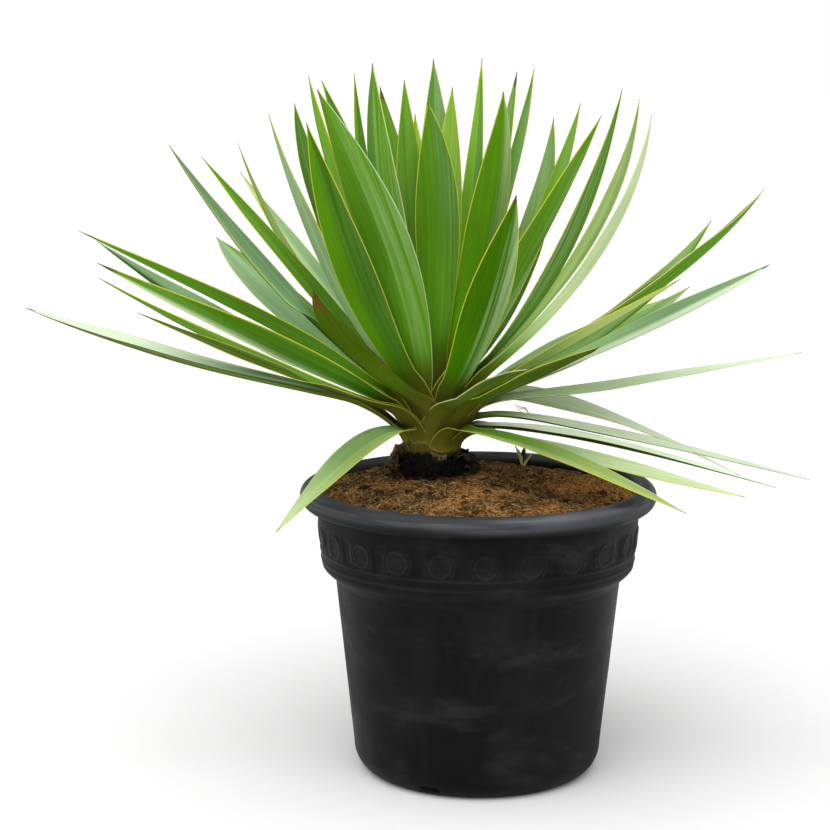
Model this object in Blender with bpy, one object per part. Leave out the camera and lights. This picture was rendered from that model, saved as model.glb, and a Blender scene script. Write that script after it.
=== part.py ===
"""Potted lone star yucca: a moulded nursery pot, its coir mix and one crown of sword leaves.

Lengths below are millimetres, and MM turns them into metres. The origin is the centre of the
pot's underside, +Z is up, and the viewer stands on the -Y side.
"""

import math

import bmesh
import bpy
from mathutils import Vector, noise

MM = 0.001
CLEAR = 0.3  # gap between two pieces that touch

# Pot
POT_HEIGHT = 291.5
POT_SIDES = 42
FOOT_RADIUS = 104
BODY_RADIUS_LOW = 124.8
BODY_Z_LOW = 25.5
BODY_RADIUS_HIGH = 142.5
BODY_Z_HIGH = 194
BAND_RADIUS_LOW = 156.3
BAND_Z_LOW = 212
BAND_RADIUS_HIGH = 161.5
LIP_RADIUS = 178
LIP_ROLL = 11  # radius of the rolled lip's half-round
WALL = 3.5
FLOOR = 5

# Relief rings round the pot's band
RING_COUNT = 23
RING_FIRST = -89  # azimuth of the first ring, just right of the front
RING_RADIUS = 10.5
RING_BEAD = 2.2
RING_PROUD = 1.6
RING_Z = 241
RING_SIDES = 12

# Drain slots through the rounded foot
SLOT_COUNT = 4
SLOT_FIRST = 246
SLOT_WIDTH = 20
SLOT_Z = 9
SLOT_HEIGHT = 5
SLOT_CUT_RADIUS = 115  # the middle of the cutter, which reaches through the foot's wall
SLOT_CUT_LENGTH = 32

# Soil
SOIL_EDGE_Z = 286
SOIL_SINK = 12  # how much lower it meets the wall behind the plant
SOIL_TOP_Z = 301
SOIL_LUMP = 5
SOIL_LUMP_SIZE = 28
SOIL_RINGS = 8

# Stem
STEM_X = -46
STEM_FOOT_Z = 240
STEM_HOLE_GAP = 0.5
CROWN_Z = 352
CORE_RADIUS = 28
CORE_HEIGHT = 40
CORE_WAIST = math.radians(22)
CORE_SIDES = 21
SEAT_GAP = 0.4
SEAT_SHARE = 0.72  # a steep leaf sits a little lower on the dome than its own rise
SEAT_WIDE = 20  # the room that each leaf's root takes on the dome
SEAT_TALL = 5.5
SEAT_ROUNDS = 200

# Old leaf bases round the foot of the stem
COLLAR_WALL = 6
COLLAR_TOP = 326
COLLAR_RAG = 2.5

# Side shoot
SHOOT_X = 48
SHOOT_Y = 62
SHOOT_RADIUS = 4
SHOOT_SIDES = 8
SHOOT_FOOT_Z = 280
SHOOT_STUB_TOP = 300
SHOOT_BLADES = ((-7, -2, 18), (3, 3, 16), (8, -3, 8))  # lean along X and Y, and height

# Heart
HEART_RADIUS = 5
HEART_BUD_HEIGHT = 60
HEART_THICK = 1.8
# azimuth, the tip's distance out from the stem and its height, half width
HEART_BLADES = (
    (88, 30, 710, 15),
    (335, 21, 682, 12),
    (160, 9, 590, 7),
    (250, 8, 560, 6),
)

# Leaves
LEAF_STEPS = 12
NECK_WIDTH = 0.36
ROOT_FLARE = 0.06
ROOT_FLARE_LENGTH = 0.1
WIDEST_AT = 0.55
TIP_TAPER = 1.8
RIB_THICK_ROOT = 2.4
RIB_THICK_TIP = 1.2
EDGE_THICK = 0.9
TIP_HALF_WIDTH = 0.8

# Each row is one leaf, from the oldest and lowest to the youngest and steepest: its azimuth
# (0 is +X, 270 the viewer's side), the tip's distance out from the stem and its height, the
# blade's width, its upward bow, where along it the bow peaks, its sideways sway, roll and fold
LEAVES = (
    (226, 210, 274, 40, 35, 0.34, 25, -8, 0.28),
    (314, 322, 309, 37, 12, 0.25, 0, -2, 0.20),
    (26, 375, 264, 36, 40, 0.16, 24, 6, 0.40),
    (346, 340, 302, 30, 12, 0.18, 2, 1, 0.20),
    (330, 331, 310, 38, -2, 0.36, -9, 4, 0.34),
    (6, 389, 285, 38, 12, 0.16, 6, -6, 0.40),
    (16, 403, 407, 40, 0, 0.18, 0, -8, 0.50),
    (172, 417, 460, 42, -10, 0.62, 0, -2, 0.40),
    (125, 353, 426, 40, 4, 0.42, 0, 0, 0.30),
    (100, 350, 415, 40, 10, 0.42, 0, 0, 0.30),
    (74, 345, 470, 40, 2, 0.42, 0, 0, 0.30),
    (286, 300, 447, 36, 10, 0.44, 17, 2, 0.40),
    (302, 272, 458, 34, 5, 0.48, 25, 0, 0.26),
    (254, 362, 520, 42, 6, 0.46, -27, -14, 0.20),
    (33, 332, 469, 38, -10, 0.44, -10, 10, 0.34),
    (42, 346, 450, 42, -3, 0.42, 0, 20, 0.30),
    (226, 367, 492, 38, -5, 0.50, 0, 0, 0.20),
    (208, 344, 512, 38, -14, 0.36, 0, 10, 0.20),
    (164, 358, 524, 40, -14, 0.43, 0, -17, 0.36),
    (2, 334, 508, 34, -5, 0.65, 0, 18, 0.20),
    (198, 330, 520, 44, -5, 0.25, 17, 38, 0.50),
    (188, 343, 546, 38, 4, 0.28, 0, 24, 0.35),
    (318, 294, 514, 38, -3, 0.60, 0, 0, 0.30),
    (142, 291, 522, 42, 5, 0.55, 24, -22, 0.20),
    (20, 307, 545, 38, -26, 0.52, -18, 9, 0.40),
    (349, 320, 587, 42, -22, 0.68, 3, 0, 0.50),
    (130, 325, 588, 38, -3, 0.44, 8, 0, 0.30),
    (184, 255, 626, 38, -17, 0.42, 0, 8, 0.20),
    (166, 239, 613, 34, -6, 0.30, -5, -12, 0.20),
    (145, 246, 623, 36, -23, 0.45, 18, 18, 0.30),
    (286, 254, 591, 38, -6, 0.44, 6, -4, 0.30),
    (244, 252, 652, 38, -8, 0.41, -11, 15, 0.20),
    (316, 210, 657, 37, -5, 0.41, 1, 0, 0.20),
    (332, 227, 656, 42, -38, 0.65, 0, 16, 0.45),
    (12, 210, 669, 34, -36, 0.60, 0, 4, 0.20),
    (344, 186, 680, 33, -31, 0.43, 0, -18, 0.20),
    (46, 182, 649, 38, -18, 0.42, -22, 2, 0.30),
    (30, 174, 665, 36, -14, 0.44, -11, 0, 0.30),
    (238, 196, 680, 48, -12, 0.43, 28, 24, 0.35),
    (186, 159, 656, 42, -21, 0.40, 0, 10, 0.45),
    (158, 148, 665, 42, -13, 0.57, 18, -12, 0.38),
    (156, 84, 694, 28, -14, 0.41, 8, 0, 0.30),
    (112, 142, 681, 36, 0, 0.40, -3, 0, 0.30),
    (128, 185, 687, 36, 9, 0.42, 0, 0, 0.30),
    (53, 177, 700, 26, -19, 0.56, 0, -22, 0.40),
    (34, 102, 696, 36, -5, 0.44, -5, 0, 0.30),
    (296, 144, 678, 42, 3, 0.49, 18, 0, 0.45),
    (268, 160, 669, 38, 12, 0.55, 9, 8, 0.40),
    (70, 153, 710, 24, -5, 0.41, -6, -3, 0.36),
    (184, 120, 692, 40, -15, 0.51, 0, 20, 0.36),
    (206, 64, 704, 38, -18, 0.48, 2, 20, 0.32),
    (118, 59, 688, 34, 2, 0.47, 4, 0, 0.30),
    (100, 98, 654, 30, 0, 0.42, 0, 0, 0.30),
    (84, 87, 677, 32, 0, 0.42, 0, 0, 0.30),
)


def start_clean():
    for thing in list(bpy.data.objects):
        bpy.data.objects.remove(thing, do_unlink=True)


def make_material(name, colour, roughness):
    material = bpy.data.materials.new(name)
    material.use_nodes = True
    shader = material.node_tree.nodes["Principled BSDF"]
    shader.inputs["Base Color"].default_value = (*colour, 1)
    shader.inputs["Roughness"].default_value = roughness
    shader.inputs["Metallic"].default_value = 0
    return material


def make_object(name, points, faces, material):
    """Makes a mesh object from points in millimetres, with its faces turned outwards."""
    mesh = bpy.data.meshes.new(name)
    mesh.from_pydata([Vector(point) * MM for point in points], [], faces)
    shape = bmesh.new()
    shape.from_mesh(mesh)
    bmesh.ops.recalc_face_normals(shape, faces=shape.faces)
    shape.to_mesh(mesh)
    shape.free()
    mesh.materials.append(material)
    thing = bpy.data.objects.new(name, mesh)
    bpy.context.scene.collection.objects.link(thing)
    return thing


def turn_profile(profile, sides, centre=(0, 0)):
    """Points and faces of a profile of (radius, z) turned about a vertical axis, closed at its ends."""
    points = []
    for radius, z in profile:
        for k in range(sides):
            angle = 2 * math.pi * k / sides
            x = centre[0] + radius * math.cos(angle)
            y = centre[1] + radius * math.sin(angle)
            points.append((x, y, z))
    faces = []
    for row in range(len(profile) - 1):
        for k in range(sides):
            a = row * sides + k
            b = row * sides + (k + 1) % sides
            faces.append((a, b, b + sides, a + sides))
    faces.append(tuple(range(sides)))
    last = (len(profile) - 1) * sides
    faces.append(tuple(last + k for k in range(sides)))
    return points, faces


def arc(centre, radius, start, end, steps):
    """Points (radius, z) along an arc in the profile's plane, with its angles in degrees."""
    points = []
    for k in range(steps + 1):
        angle = math.radians(start + (end - start) * k / steps)
        points.append((centre[0] + radius * math.cos(angle), centre[1] + radius * math.sin(angle)))
    return points


def inner_profile():
    """The pot's inside from its lip down to its floor, as (radius, z)."""
    return [
        (BAND_RADIUS_HIGH - WALL, POT_HEIGHT - LIP_ROLL),
        (BAND_RADIUS_LOW - WALL, BAND_Z_LOW),
        (BODY_RADIUS_HIGH - WALL, BODY_Z_HIGH),
        (BODY_RADIUS_LOW - WALL, BODY_Z_LOW),
        (FOOT_RADIUS - WALL, FLOOR),
    ]


def pot_profile():
    roll = (LIP_RADIUS - LIP_ROLL, POT_HEIGHT - LIP_ROLL)
    foot = []
    for k in range(4):
        angle = math.radians(30 * k)
        radius = FOOT_RADIUS + (BODY_RADIUS_LOW - FOOT_RADIUS) * math.sin(angle)
        foot.append((radius, BODY_Z_LOW * (1 - math.cos(angle))))
    band = [
        (BODY_RADIUS_HIGH, BODY_Z_HIGH),
        (BAND_RADIUS_LOW, BAND_Z_LOW),
        (BAND_RADIUS_HIGH, roll[1] - LIP_ROLL),
    ]
    lip = arc(roll, LIP_ROLL, -66, 114, 6)
    return foot + band + lip + inner_profile()


def relief_ring(azimuth):
    """A raised ring on the band, its bead a triangle whose base is sunk in the wall."""
    slope = (BAND_RADIUS_HIGH - BAND_RADIUS_LOW) / (POT_HEIGHT - 2 * LIP_ROLL - BAND_Z_LOW)
    wall_radius = BAND_RADIUS_LOW + slope * (RING_Z - BAND_Z_LOW)
    out = Vector((math.cos(azimuth), math.sin(azimuth), 0))
    along = Vector((-math.sin(azimuth), math.cos(azimuth), 0))
    up = Vector((0, 0, 1)) + out * slope
    centre = out * wall_radius * math.cos(math.pi / POT_SIDES) + Vector((0, 0, RING_Z))
    section = ((RING_BEAD, -1), (0, RING_PROUD), (-RING_BEAD, -1))
    points = []
    for k in range(RING_SIDES):
        angle = 2 * math.pi * (k + 0.5) / RING_SIDES
        spoke = along * math.cos(angle) + up * math.sin(angle)
        for offset, proud in section:
            points.append(centre + spoke * (RING_RADIUS + offset) + out * proud)
    faces = []
    for k in range(RING_SIDES):
        near = 3 * k
        far = 3 * ((k + 1) % RING_SIDES)
        for side in range(3):
            next_side = (side + 1) % 3
            faces.append((near + side, near + next_side, far + next_side, far + side))
    return points, faces


def box_shape(centre, out, along, up, half):
    """A box from its centre, its three unit directions and its half lengths along them."""
    points = []
    for i, j, k in ((-1, -1, -1), (1, -1, -1), (1, 1, -1), (-1, 1, -1)):
        points.append(centre + out * i * half[0] + along * j * half[1] + up * k * half[2])
    for i, j, k in ((-1, -1, 1), (1, -1, 1), (1, 1, 1), (-1, 1, 1)):
        points.append(centre + out * i * half[0] + along * j * half[1] + up * k * half[2])
    faces = [(0, 3, 2, 1), (4, 5, 6, 7)]
    for k in range(4):
        faces.append((k, (k + 1) % 4, (k + 1) % 4 + 4, k + 4))
    return points, faces


def boolean(thing, operation, helpers):
    """Joins or cuts the helper objects into the thing in one step, then removes them."""
    group = bpy.data.collections.new(thing.name + "_helpers")
    for helper in helpers:
        bpy.context.scene.collection.objects.unlink(helper)
        group.objects.link(helper)
    bpy.context.scene.collection.children.link(group)
    modifier = thing.modifiers.new(operation.lower(), "BOOLEAN")
    modifier.operation = operation
    modifier.operand_type = "COLLECTION"
    modifier.collection = group
    modifier.solver = "EXACT"
    graph = bpy.context.evaluated_depsgraph_get()
    mesh = bpy.data.meshes.new_from_object(thing.evaluated_get(graph))
    thing.modifiers.clear()
    old_mesh = thing.data
    thing.data = mesh
    bpy.data.meshes.remove(old_mesh)
    for helper in list(helpers):
        bpy.data.objects.remove(helper, do_unlink=True)
    bpy.data.collections.remove(group)


def make_pot(material):
    points, faces = turn_profile(pot_profile(), POT_SIDES)
    pot = make_object("pot", points, faces, material)
    slots = []
    for k in range(SLOT_COUNT):
        azimuth = math.radians(SLOT_FIRST + 360 * k / SLOT_COUNT)
        out = Vector((math.cos(azimuth), math.sin(azimuth), 0))
        along = Vector((-math.sin(azimuth), math.cos(azimuth), 0))
        centre = out * SLOT_CUT_RADIUS + Vector((0, 0, SLOT_Z))
        half = (SLOT_CUT_LENGTH / 2, SLOT_WIDTH / 2, SLOT_HEIGHT / 2)
        points, faces = box_shape(centre, out, along, Vector((0, 0, 1)), half)
        slots.append(make_object(f"slot_{k}", points, faces, material))
    boolean(pot, "DIFFERENCE", slots)
    rings = []
    for k in range(RING_COUNT):
        azimuth = math.radians(RING_FIRST + 360 * k / RING_COUNT)
        points, faces = relief_ring(azimuth)
        rings.append(make_object(f"ring_{k}", points, faces, material))
    boolean(pot, "UNION", rings)
    return pot


def inner_radius(z):
    """The radius of the pot's inside at a height within its upper wall."""
    (top_radius, top_z), (low_radius, low_z) = inner_profile()[:2]
    return low_radius + (top_radius - low_radius) * (z - low_z) / (top_z - low_z)


def soil_edge(azimuth):
    """The soil's height at the wall, which sinks behind the plant."""
    behind = max(0, math.sin(azimuth))
    return SOIL_EDGE_Z - SOIL_SINK * behind**0.5


def stem_radius(z):
    """The crown core: a tall dome on a slightly narrower column."""
    waist = CROWN_Z - CORE_HEIGHT * math.sin(CORE_WAIST)
    if z < waist:
        return CORE_RADIUS * math.cos(CORE_WAIST)
    return CORE_RADIUS * math.sqrt(max(0, 1 - ((z - CROWN_Z) / CORE_HEIGHT) ** 2))


def make_soil(material):
    """Fills the pot's inside, with a mounded top and a plain hole for the stem."""
    rows = []
    for radius, z in reversed(inner_profile()):
        rows.append([radius - CLEAR, z + CLEAR])
    rows.pop()
    hole_radius = stem_radius(STEM_FOOT_Z) + STEM_HOLE_GAP
    points = []
    for radius, z in rows:
        for k in range(POT_SIDES):
            angle = 2 * math.pi * k / POT_SIDES
            points.append((radius * math.cos(angle), radius * math.sin(angle), z))
    for row in range(SOIL_RINGS + 1):
        inward = row / SOIL_RINGS
        for k in range(POT_SIDES):
            angle = 2 * math.pi * k / POT_SIDES
            edge = soil_edge(angle)
            wall_radius = inner_radius(edge) - CLEAR
            radius = wall_radius + (hole_radius - wall_radius) * inward
            x = STEM_X * inward + radius * math.cos(angle)
            y = radius * math.sin(angle)
            z = edge + (SOIL_TOP_Z - edge) * math.sin(inward * math.pi / 2)
            lump = noise.noise(Vector((x, y, 0)) / SOIL_LUMP_SIZE)
            points.append((x, y, z + SOIL_LUMP * lump * (1 - inward)))
    for k in range(POT_SIDES):
        angle = 2 * math.pi * k / POT_SIDES
        x = STEM_X + hole_radius * math.cos(angle)
        points.append((x, hole_radius * math.sin(angle), STEM_FOOT_Z - CLEAR))
    faces = []
    count = len(points) // POT_SIDES
    for row in range(count - 1):
        for k in range(POT_SIDES):
            a = row * POT_SIDES + k
            b = row * POT_SIDES + (k + 1) % POT_SIDES
            faces.append((a, b, b + POT_SIDES))
            faces.append((a, b + POT_SIDES, a + POT_SIDES))
    faces.append(tuple(range(POT_SIDES)))
    last = (count - 1) * POT_SIDES
    faces.append(tuple(last + k for k in range(POT_SIDES)))
    soil = make_object("soil", points, faces, material)
    hole = [(SHOOT_RADIUS + CLEAR, SHOOT_FOOT_Z - CLEAR), (SHOOT_RADIUS + CLEAR, SOIL_TOP_Z + 20)]
    points, faces = turn_profile(hole, SHOOT_SIDES, (SHOOT_X, SHOOT_Y))
    boolean(soil, "DIFFERENCE", [make_object("shoot_hole", points, faces, material)])
    return soil


def make_stem(material):
    waist = CROWN_Z - CORE_HEIGHT * math.sin(CORE_WAIST)
    heights = [STEM_FOOT_Z, SOIL_TOP_Z, waist]
    for degrees in (-8, 10, 28, 45, 60, 72, 82):
        heights.append(CROWN_Z + CORE_HEIGHT * math.sin(math.radians(degrees)))
    profile = [(stem_radius(z), z) for z in heights]
    points, faces = turn_profile(profile, CORE_SIDES, (STEM_X, 0))
    return make_object("stem", points, faces, material)


def make_collar(material):
    """The torn black bases of leaves long gone, a ragged ring round the stem's foot."""
    inner = stem_radius(STEM_FOOT_Z) + CLEAR
    points = []
    for k in range(CORE_SIDES):
        angle = 2 * math.pi * k / CORE_SIDES
        rag = math.sin(3 * angle) + 0.8 * math.sin(7 * angle + 1)
        outer = inner + COLLAR_WALL + 1.2 * math.sin(5 * angle)
        top = COLLAR_TOP + COLLAR_RAG * rag
        for radius, z in (
            (inner, SOIL_TOP_Z + CLEAR),
            (outer, SOIL_TOP_Z + CLEAR),
            (outer + 2, top),
            (inner + 1, top + 2),
        ):
            points.append((STEM_X + radius * math.cos(angle), radius * math.sin(angle), z))
    faces = []
    for k in range(CORE_SIDES):
        near = 4 * k
        far = 4 * ((k + 1) % CORE_SIDES)
        for side in range(4):
            next_side = (side + 1) % 4
            faces.append((near + side, near + next_side, far + next_side))
            faces.append((near + side, far + next_side, far + side))
    return make_object("old_leaf_bases", points, faces, material)


def spear(root, tip, half_width, half_thick, sides=6):
    """A plain pointed spike with an oval section that is widest a third of the way up."""
    axis = (Vector(tip) - Vector(root)).normalized()
    across = axis.cross(Vector((0, 1, 0))).normalized()
    through = axis.cross(across)
    points = []
    stations = ((0, 0.7), (0.35, 1), (0.75, 0.6))
    for share, size in stations:
        centre = Vector(root).lerp(Vector(tip), share)
        for k in range(sides):
            angle = 2 * math.pi * k / sides
            wide = across * math.cos(angle) * half_width * size
            thick = through * math.sin(angle) * half_thick * size
            points.append(centre + wide + thick)
    points.append(Vector(tip))
    faces = [tuple(range(sides))]
    for row in range(len(stations) - 1):
        for k in range(sides):
            a = row * sides + k
            b = row * sides + (k + 1) % sides
            faces.append((a, b, b + sides, a + sides))
    last = (len(stations) - 1) * sides
    for k in range(sides):
        faces.append((last + k, last + (k + 1) % sides, len(points) - 1))
    return points, faces


def make_shoot(material):
    """A small side shoot that has just come up, with three short blades."""
    stub = [(SHOOT_RADIUS, SHOOT_FOOT_Z), (SHOOT_RADIUS * 0.8, SHOOT_STUB_TOP)]
    points, faces = turn_profile(stub, SHOOT_SIDES, (SHOOT_X, SHOOT_Y))
    shoot = make_object("side_shoot", points, faces, material)
    blades = []
    for number, (lean_x, lean_y, height) in enumerate(SHOOT_BLADES):
        root = (SHOOT_X, SHOOT_Y, SHOOT_STUB_TOP - 4)
        tip = (SHOOT_X + lean_x, SHOOT_Y + lean_y, SHOOT_STUB_TOP + height)
        points, faces = spear(root, tip, SHOOT_RADIUS * 0.7, SHOOT_RADIUS * 0.3)
        blades.append(make_object(f"blade_{number}", points, faces, material))
    boolean(shoot, "UNION", blades)
    return shoot


def smooth(x):
    x = min(1, max(0, x))
    return x * x * (3 - 2 * x)


def blade_share(t):
    """The blade's width at t along it, as a share of its widest."""
    if t < WIDEST_AT:
        flare = ROOT_FLARE * max(0, 1 - t / ROOT_FLARE_LENGTH) ** 2
        return NECK_WIDTH + flare + (1 - NECK_WIDTH) * smooth(t / WIDEST_AT)
    return 1 - ((t - WIDEST_AT) / (1 - WIDEST_AT)) ** TIP_TAPER


def spread_seats():
    """Starts each leaf's root where it points, then eases crowded roots apart on the dome."""
    wanted = []
    for row in LEAVES:
        rise = math.atan2(row[2] - CROWN_Z, row[1])
        wanted.append((math.radians(row[0]), rise * SEAT_SHARE))
    seats = [list(seat) for seat in wanted]
    for _ in range(SEAT_ROUNDS):
        for i, one in enumerate(seats):
            for other in seats[i + 1 :]:
                turn = math.remainder(other[0] - one[0], 2 * math.pi)
                wide = CORE_RADIUS * math.cos((one[1] + other[1]) / 2) / SEAT_WIDE
                tall = CORE_HEIGHT / SEAT_TALL
                across = turn * wide
                above = (other[1] - one[1]) * tall
                apart = math.hypot(across, above)
                if apart < 1:
                    push = 0.25 * (1 - apart) / max(apart, 0.1)
                    one[0] -= push * across / wide
                    other[0] += push * across / wide
                    one[1] -= push * above / tall
                    other[1] += push * above / tall
    return seats


def dome_gap(point):
    """How far a point lies outside the crown's dome, nearly."""
    offset = point - Vector((STEM_X, 0, CROWN_Z))
    radii = Vector((CORE_RADIUS, CORE_RADIUS, CORE_HEIGHT))
    flat = Vector(offset[k] / radii[k] for k in range(3))
    slope = Vector(flat[k] / radii[k] for k in range(3)) / flat.length
    return (flat.length - 1) / slope.length


class Blade:
    """One leaf's run: where it leaves the crown, its curve to the tip and its frame along it."""

    def __init__(self, row, seat):
        azimuth, tip_out, tip_z, self.width, bow, bow_at, sway, self.roll, self.fold = row
        turn = math.radians(azimuth)
        out = Vector((math.cos(turn), math.sin(turn), 0))
        self.side = Vector((-math.sin(turn), math.cos(turn), 0))
        self.tip = Vector((STEM_X, 0, tip_z)) + out * tip_out
        level = Vector((math.cos(seat[0]), math.sin(seat[0]), 0)) * math.cos(seat[1])
        self.root = Vector((STEM_X, 0, CROWN_Z)) + level * CORE_RADIUS
        self.root.z += CORE_HEIGHT * math.sin(seat[1])
        outward = level / CORE_RADIUS + Vector((0, 0, math.sin(seat[1]) / CORE_HEIGHT))
        outward.normalize()
        for _ in range(3):
            chord = self.tip - self.root
            arch = chord.cross(self.side).normalized()
            self.bend = self.root + chord * bow_at + arch * bow * 2 + self.side * sway * 2
            nearest = min(dome_gap(point) for point in self.section(0))
            self.root += outward * (SEAT_GAP - nearest)

    def centre(self, t):
        return self.root * (1 - t) ** 2 + self.bend * 2 * t * (1 - t) + self.tip * t * t

    def frame(self, t):
        """The blade's sideways and upper-face directions at t."""
        along = (self.bend - self.root) * (1 - t) + (self.tip - self.bend) * t
        upper = along.cross(self.side).normalized()
        side = upper.cross(along).normalized()
        turn = math.radians(self.roll) * smooth(t * 2)
        return (
            side * math.cos(turn) + upper * math.sin(turn),
            upper * math.cos(turn) - side * math.sin(turn),
        )

    def section(self, t):
        """Six points across the blade: its upper face left to right, then its lower face back."""
        side, upper = self.frame(t)
        half = max(TIP_HALF_WIDTH, self.width / 2 * blade_share(t))
        rib = RIB_THICK_ROOT + (RIB_THICK_TIP - RIB_THICK_ROOT) * t
        lift = self.fold * half
        centre = self.centre(t)
        left = centre - side * half + upper * lift
        right = centre + side * half + upper * lift
        edge = upper * EDGE_THICK / 2
        middle = upper * rib / 2
        return [left + edge, centre + middle, right + edge, right - edge, centre - middle, left - edge]


def make_leaf(name, blade, material):
    points = []
    for step in range(LEAF_STEPS + 1):
        points.extend(blade.section(step / LEAF_STEPS))
    faces = []
    for step in range(LEAF_STEPS):
        for k in range(6):
            a = 6 * step + k
            b = 6 * step + (k + 1) % 6
            if k < 3:
                faces.append((a, b, b + 6))
                faces.append((a, b + 6, a + 6))
            else:
                faces.append((a, b, a + 6))
                faces.append((b, b + 6, a + 6))
    last = 6 * LEAF_STEPS
    for start in (0, last):
        faces.append((start, start + 1, start + 4, start + 5))
        faces.append((start + 1, start + 2, start + 3, start + 4))
    return make_object(name, points, faces, material)


def make_heart(material):
    """The youngest spears, still upright and rolled, joined at the growing point."""
    base_z = CROWN_Z + CORE_HEIGHT + CLEAR
    bud = [(HEART_RADIUS, base_z), (HEART_RADIUS * 0.9, base_z + 12), (2, base_z + HEART_BUD_HEIGHT)]
    points, faces = turn_profile(bud, 10, (STEM_X, 0))
    heart = make_object("heart", points, faces, material)
    spears = []
    for number, (azimuth, tip_out, tip_z, half_width) in enumerate(HEART_BLADES):
        turn = math.radians(azimuth)
        root = (STEM_X + 2 * math.cos(turn), 2 * math.sin(turn), base_z + 6)
        tip = (STEM_X + tip_out * math.cos(turn), tip_out * math.sin(turn), tip_z)
        points, faces = spear(root, tip, half_width, HEART_THICK)
        spears.append(make_object(f"spear_{number}", points, faces, material))
    boolean(heart, "UNION", spears)
    return heart


def main():
    start_clean()
    plastic = make_material("matte_black_plastic", (0.017, 0.018, 0.019), 0.6)
    coir = make_material("coir", (0.15, 0.055, 0.016), 0.95)
    bark = make_material("old_leaf_bases", (0.012, 0.010, 0.008), 0.85)
    olive = make_material("leaf_base", (0.12, 0.13, 0.02), 0.6)
    green = make_material("leaf", (0.06, 0.20, 0.02), 0.45)
    make_pot(plastic)
    make_soil(coir)
    make_stem(olive)
    make_collar(bark)
    make_shoot(green)
    make_heart(green)
    for number, (row, seat) in enumerate(zip(LEAVES, spread_seats()), 1):
        make_leaf(f"leaf_{number:02d}", Blade(row, seat), green)


main()
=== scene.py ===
"""Looks of the potted lone star yucca: leaves, crown, coir mix and moulded pot.

Lengths are in millimetres, which MM turns into metres, and angles in the tables in degrees.
"""

import random
from math import atan2, cos, exp, hypot, pi, radians, remainder, sin, sqrt

import bmesh
import bpy
import numpy as np
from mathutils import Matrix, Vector, noise


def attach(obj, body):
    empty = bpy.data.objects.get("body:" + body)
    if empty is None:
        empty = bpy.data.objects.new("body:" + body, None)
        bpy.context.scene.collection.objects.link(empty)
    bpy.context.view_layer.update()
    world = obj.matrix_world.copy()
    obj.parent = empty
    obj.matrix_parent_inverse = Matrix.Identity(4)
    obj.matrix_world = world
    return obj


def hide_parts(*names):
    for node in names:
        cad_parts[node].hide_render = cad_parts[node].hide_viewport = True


MM = 0.001
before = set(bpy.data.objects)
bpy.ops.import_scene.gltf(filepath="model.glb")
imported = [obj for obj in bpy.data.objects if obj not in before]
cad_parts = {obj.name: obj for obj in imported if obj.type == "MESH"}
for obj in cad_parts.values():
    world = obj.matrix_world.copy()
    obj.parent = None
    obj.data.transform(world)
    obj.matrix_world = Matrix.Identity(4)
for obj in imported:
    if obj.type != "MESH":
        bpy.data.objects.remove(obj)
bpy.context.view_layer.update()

# Camera, in metres and degrees, as fitted to the pot's outline
CAMERA_AT = (-0.063, -2.0, 0.692)
CAMERA_DOWN = 9.45
CAMERA_LENS = 88.4
CAMERA_SENSOR = 36

# Soft lights: name, direction, spread in degrees and strength
SUNS = (("overhead", (0.25, 0.5, -1), 75, 2.2), ("fill", (-0.25, 1, -0.3), 100, 0.65))
ROOM_LIGHT = 0.55
FLOOR_HALF = 60000
FLOOR_CORNERS = ((-1, -1), (1, -1), (1, 1), (-1, 1))

# The crown and its leaves, as in the solids
STEM_X = -46
CROWN_Z = 352
CORE_RADIUS = 28
CORE_HEIGHT = 40
SOIL_TOP_Z = 301
SEAT_SHARE = 0.72
SEAT_WIDE = 20
SEAT_TALL = 5.5
SEAT_ROUNDS = 200
SEAT_PUSH = 0.25
SEAT_LEAST = 0.1
NECK_WIDTH = 0.56
WIDEST_AT = 0.55
TIP_TAPER = 1.8

# The blades' meshes, and the sheaths and clasping bases that only the scene has
LEAF_ROWS = 56
SHEATH_ROWS = 16
SHEATH_T = 0.13  # how far along the blade its sheath reaches
SHEATH_SPAN = 0.12  # the sheath's own length as a share of the blade's
SHEATH_RADIUS = 28.5
SHEATH_STEP = 0.16  # how much nearer the stem each younger sheath lies
SHEATH_LOW = 325
SHEATH_RISE = 0.35
SHEATH_LEAST = 20  # the least radius that a sheath curls to
SHEATH_PULL = 0.75  # how stiffly a sheath sets out upwards
SHEATH_FLARE = 0.12  # how much wider than its blade a sheath is
SHEATH_HORN = 5  # how far a sheath's corners rise over its middle
CLASP_HALF = 14
CLASP_LIFT = 0.5
LEAF_ACROSS = (0.03, 0.14, 0.28, 0.44, 0.6, 0.75, 0.88, 0.96, 1.0)
RIB_THICK = 2.0
EDGE_THICK = 0.6
LEAST_HALF = 0.35
RIB_THINNING = 0.5  # how much thinner the midrib is at the tip
RIB_CURVE = 1.5
FOLD_CURVE = 1.35
TIP_UNFOLD = 0.35
TIP_THINNING = 0.6
WAVE_HEIGHT = 1.1
WAVE_PACE = 5
ROWS_CROWD = 0.05  # how much closer together a blade's rows lie at its ends
HUMP_FALL = 0.4  # how far beyond its top a hump reaches
HEART_RISE = 84
# The blades' waves and veins follow their numbers: the leaves' from 1, the others' from these
HEART_SEED = 60
SHOOT_SEED = 70
WRAP_ENDS = (0.1, 0.95)  # where along its own run a sheath comes off the stem
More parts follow.
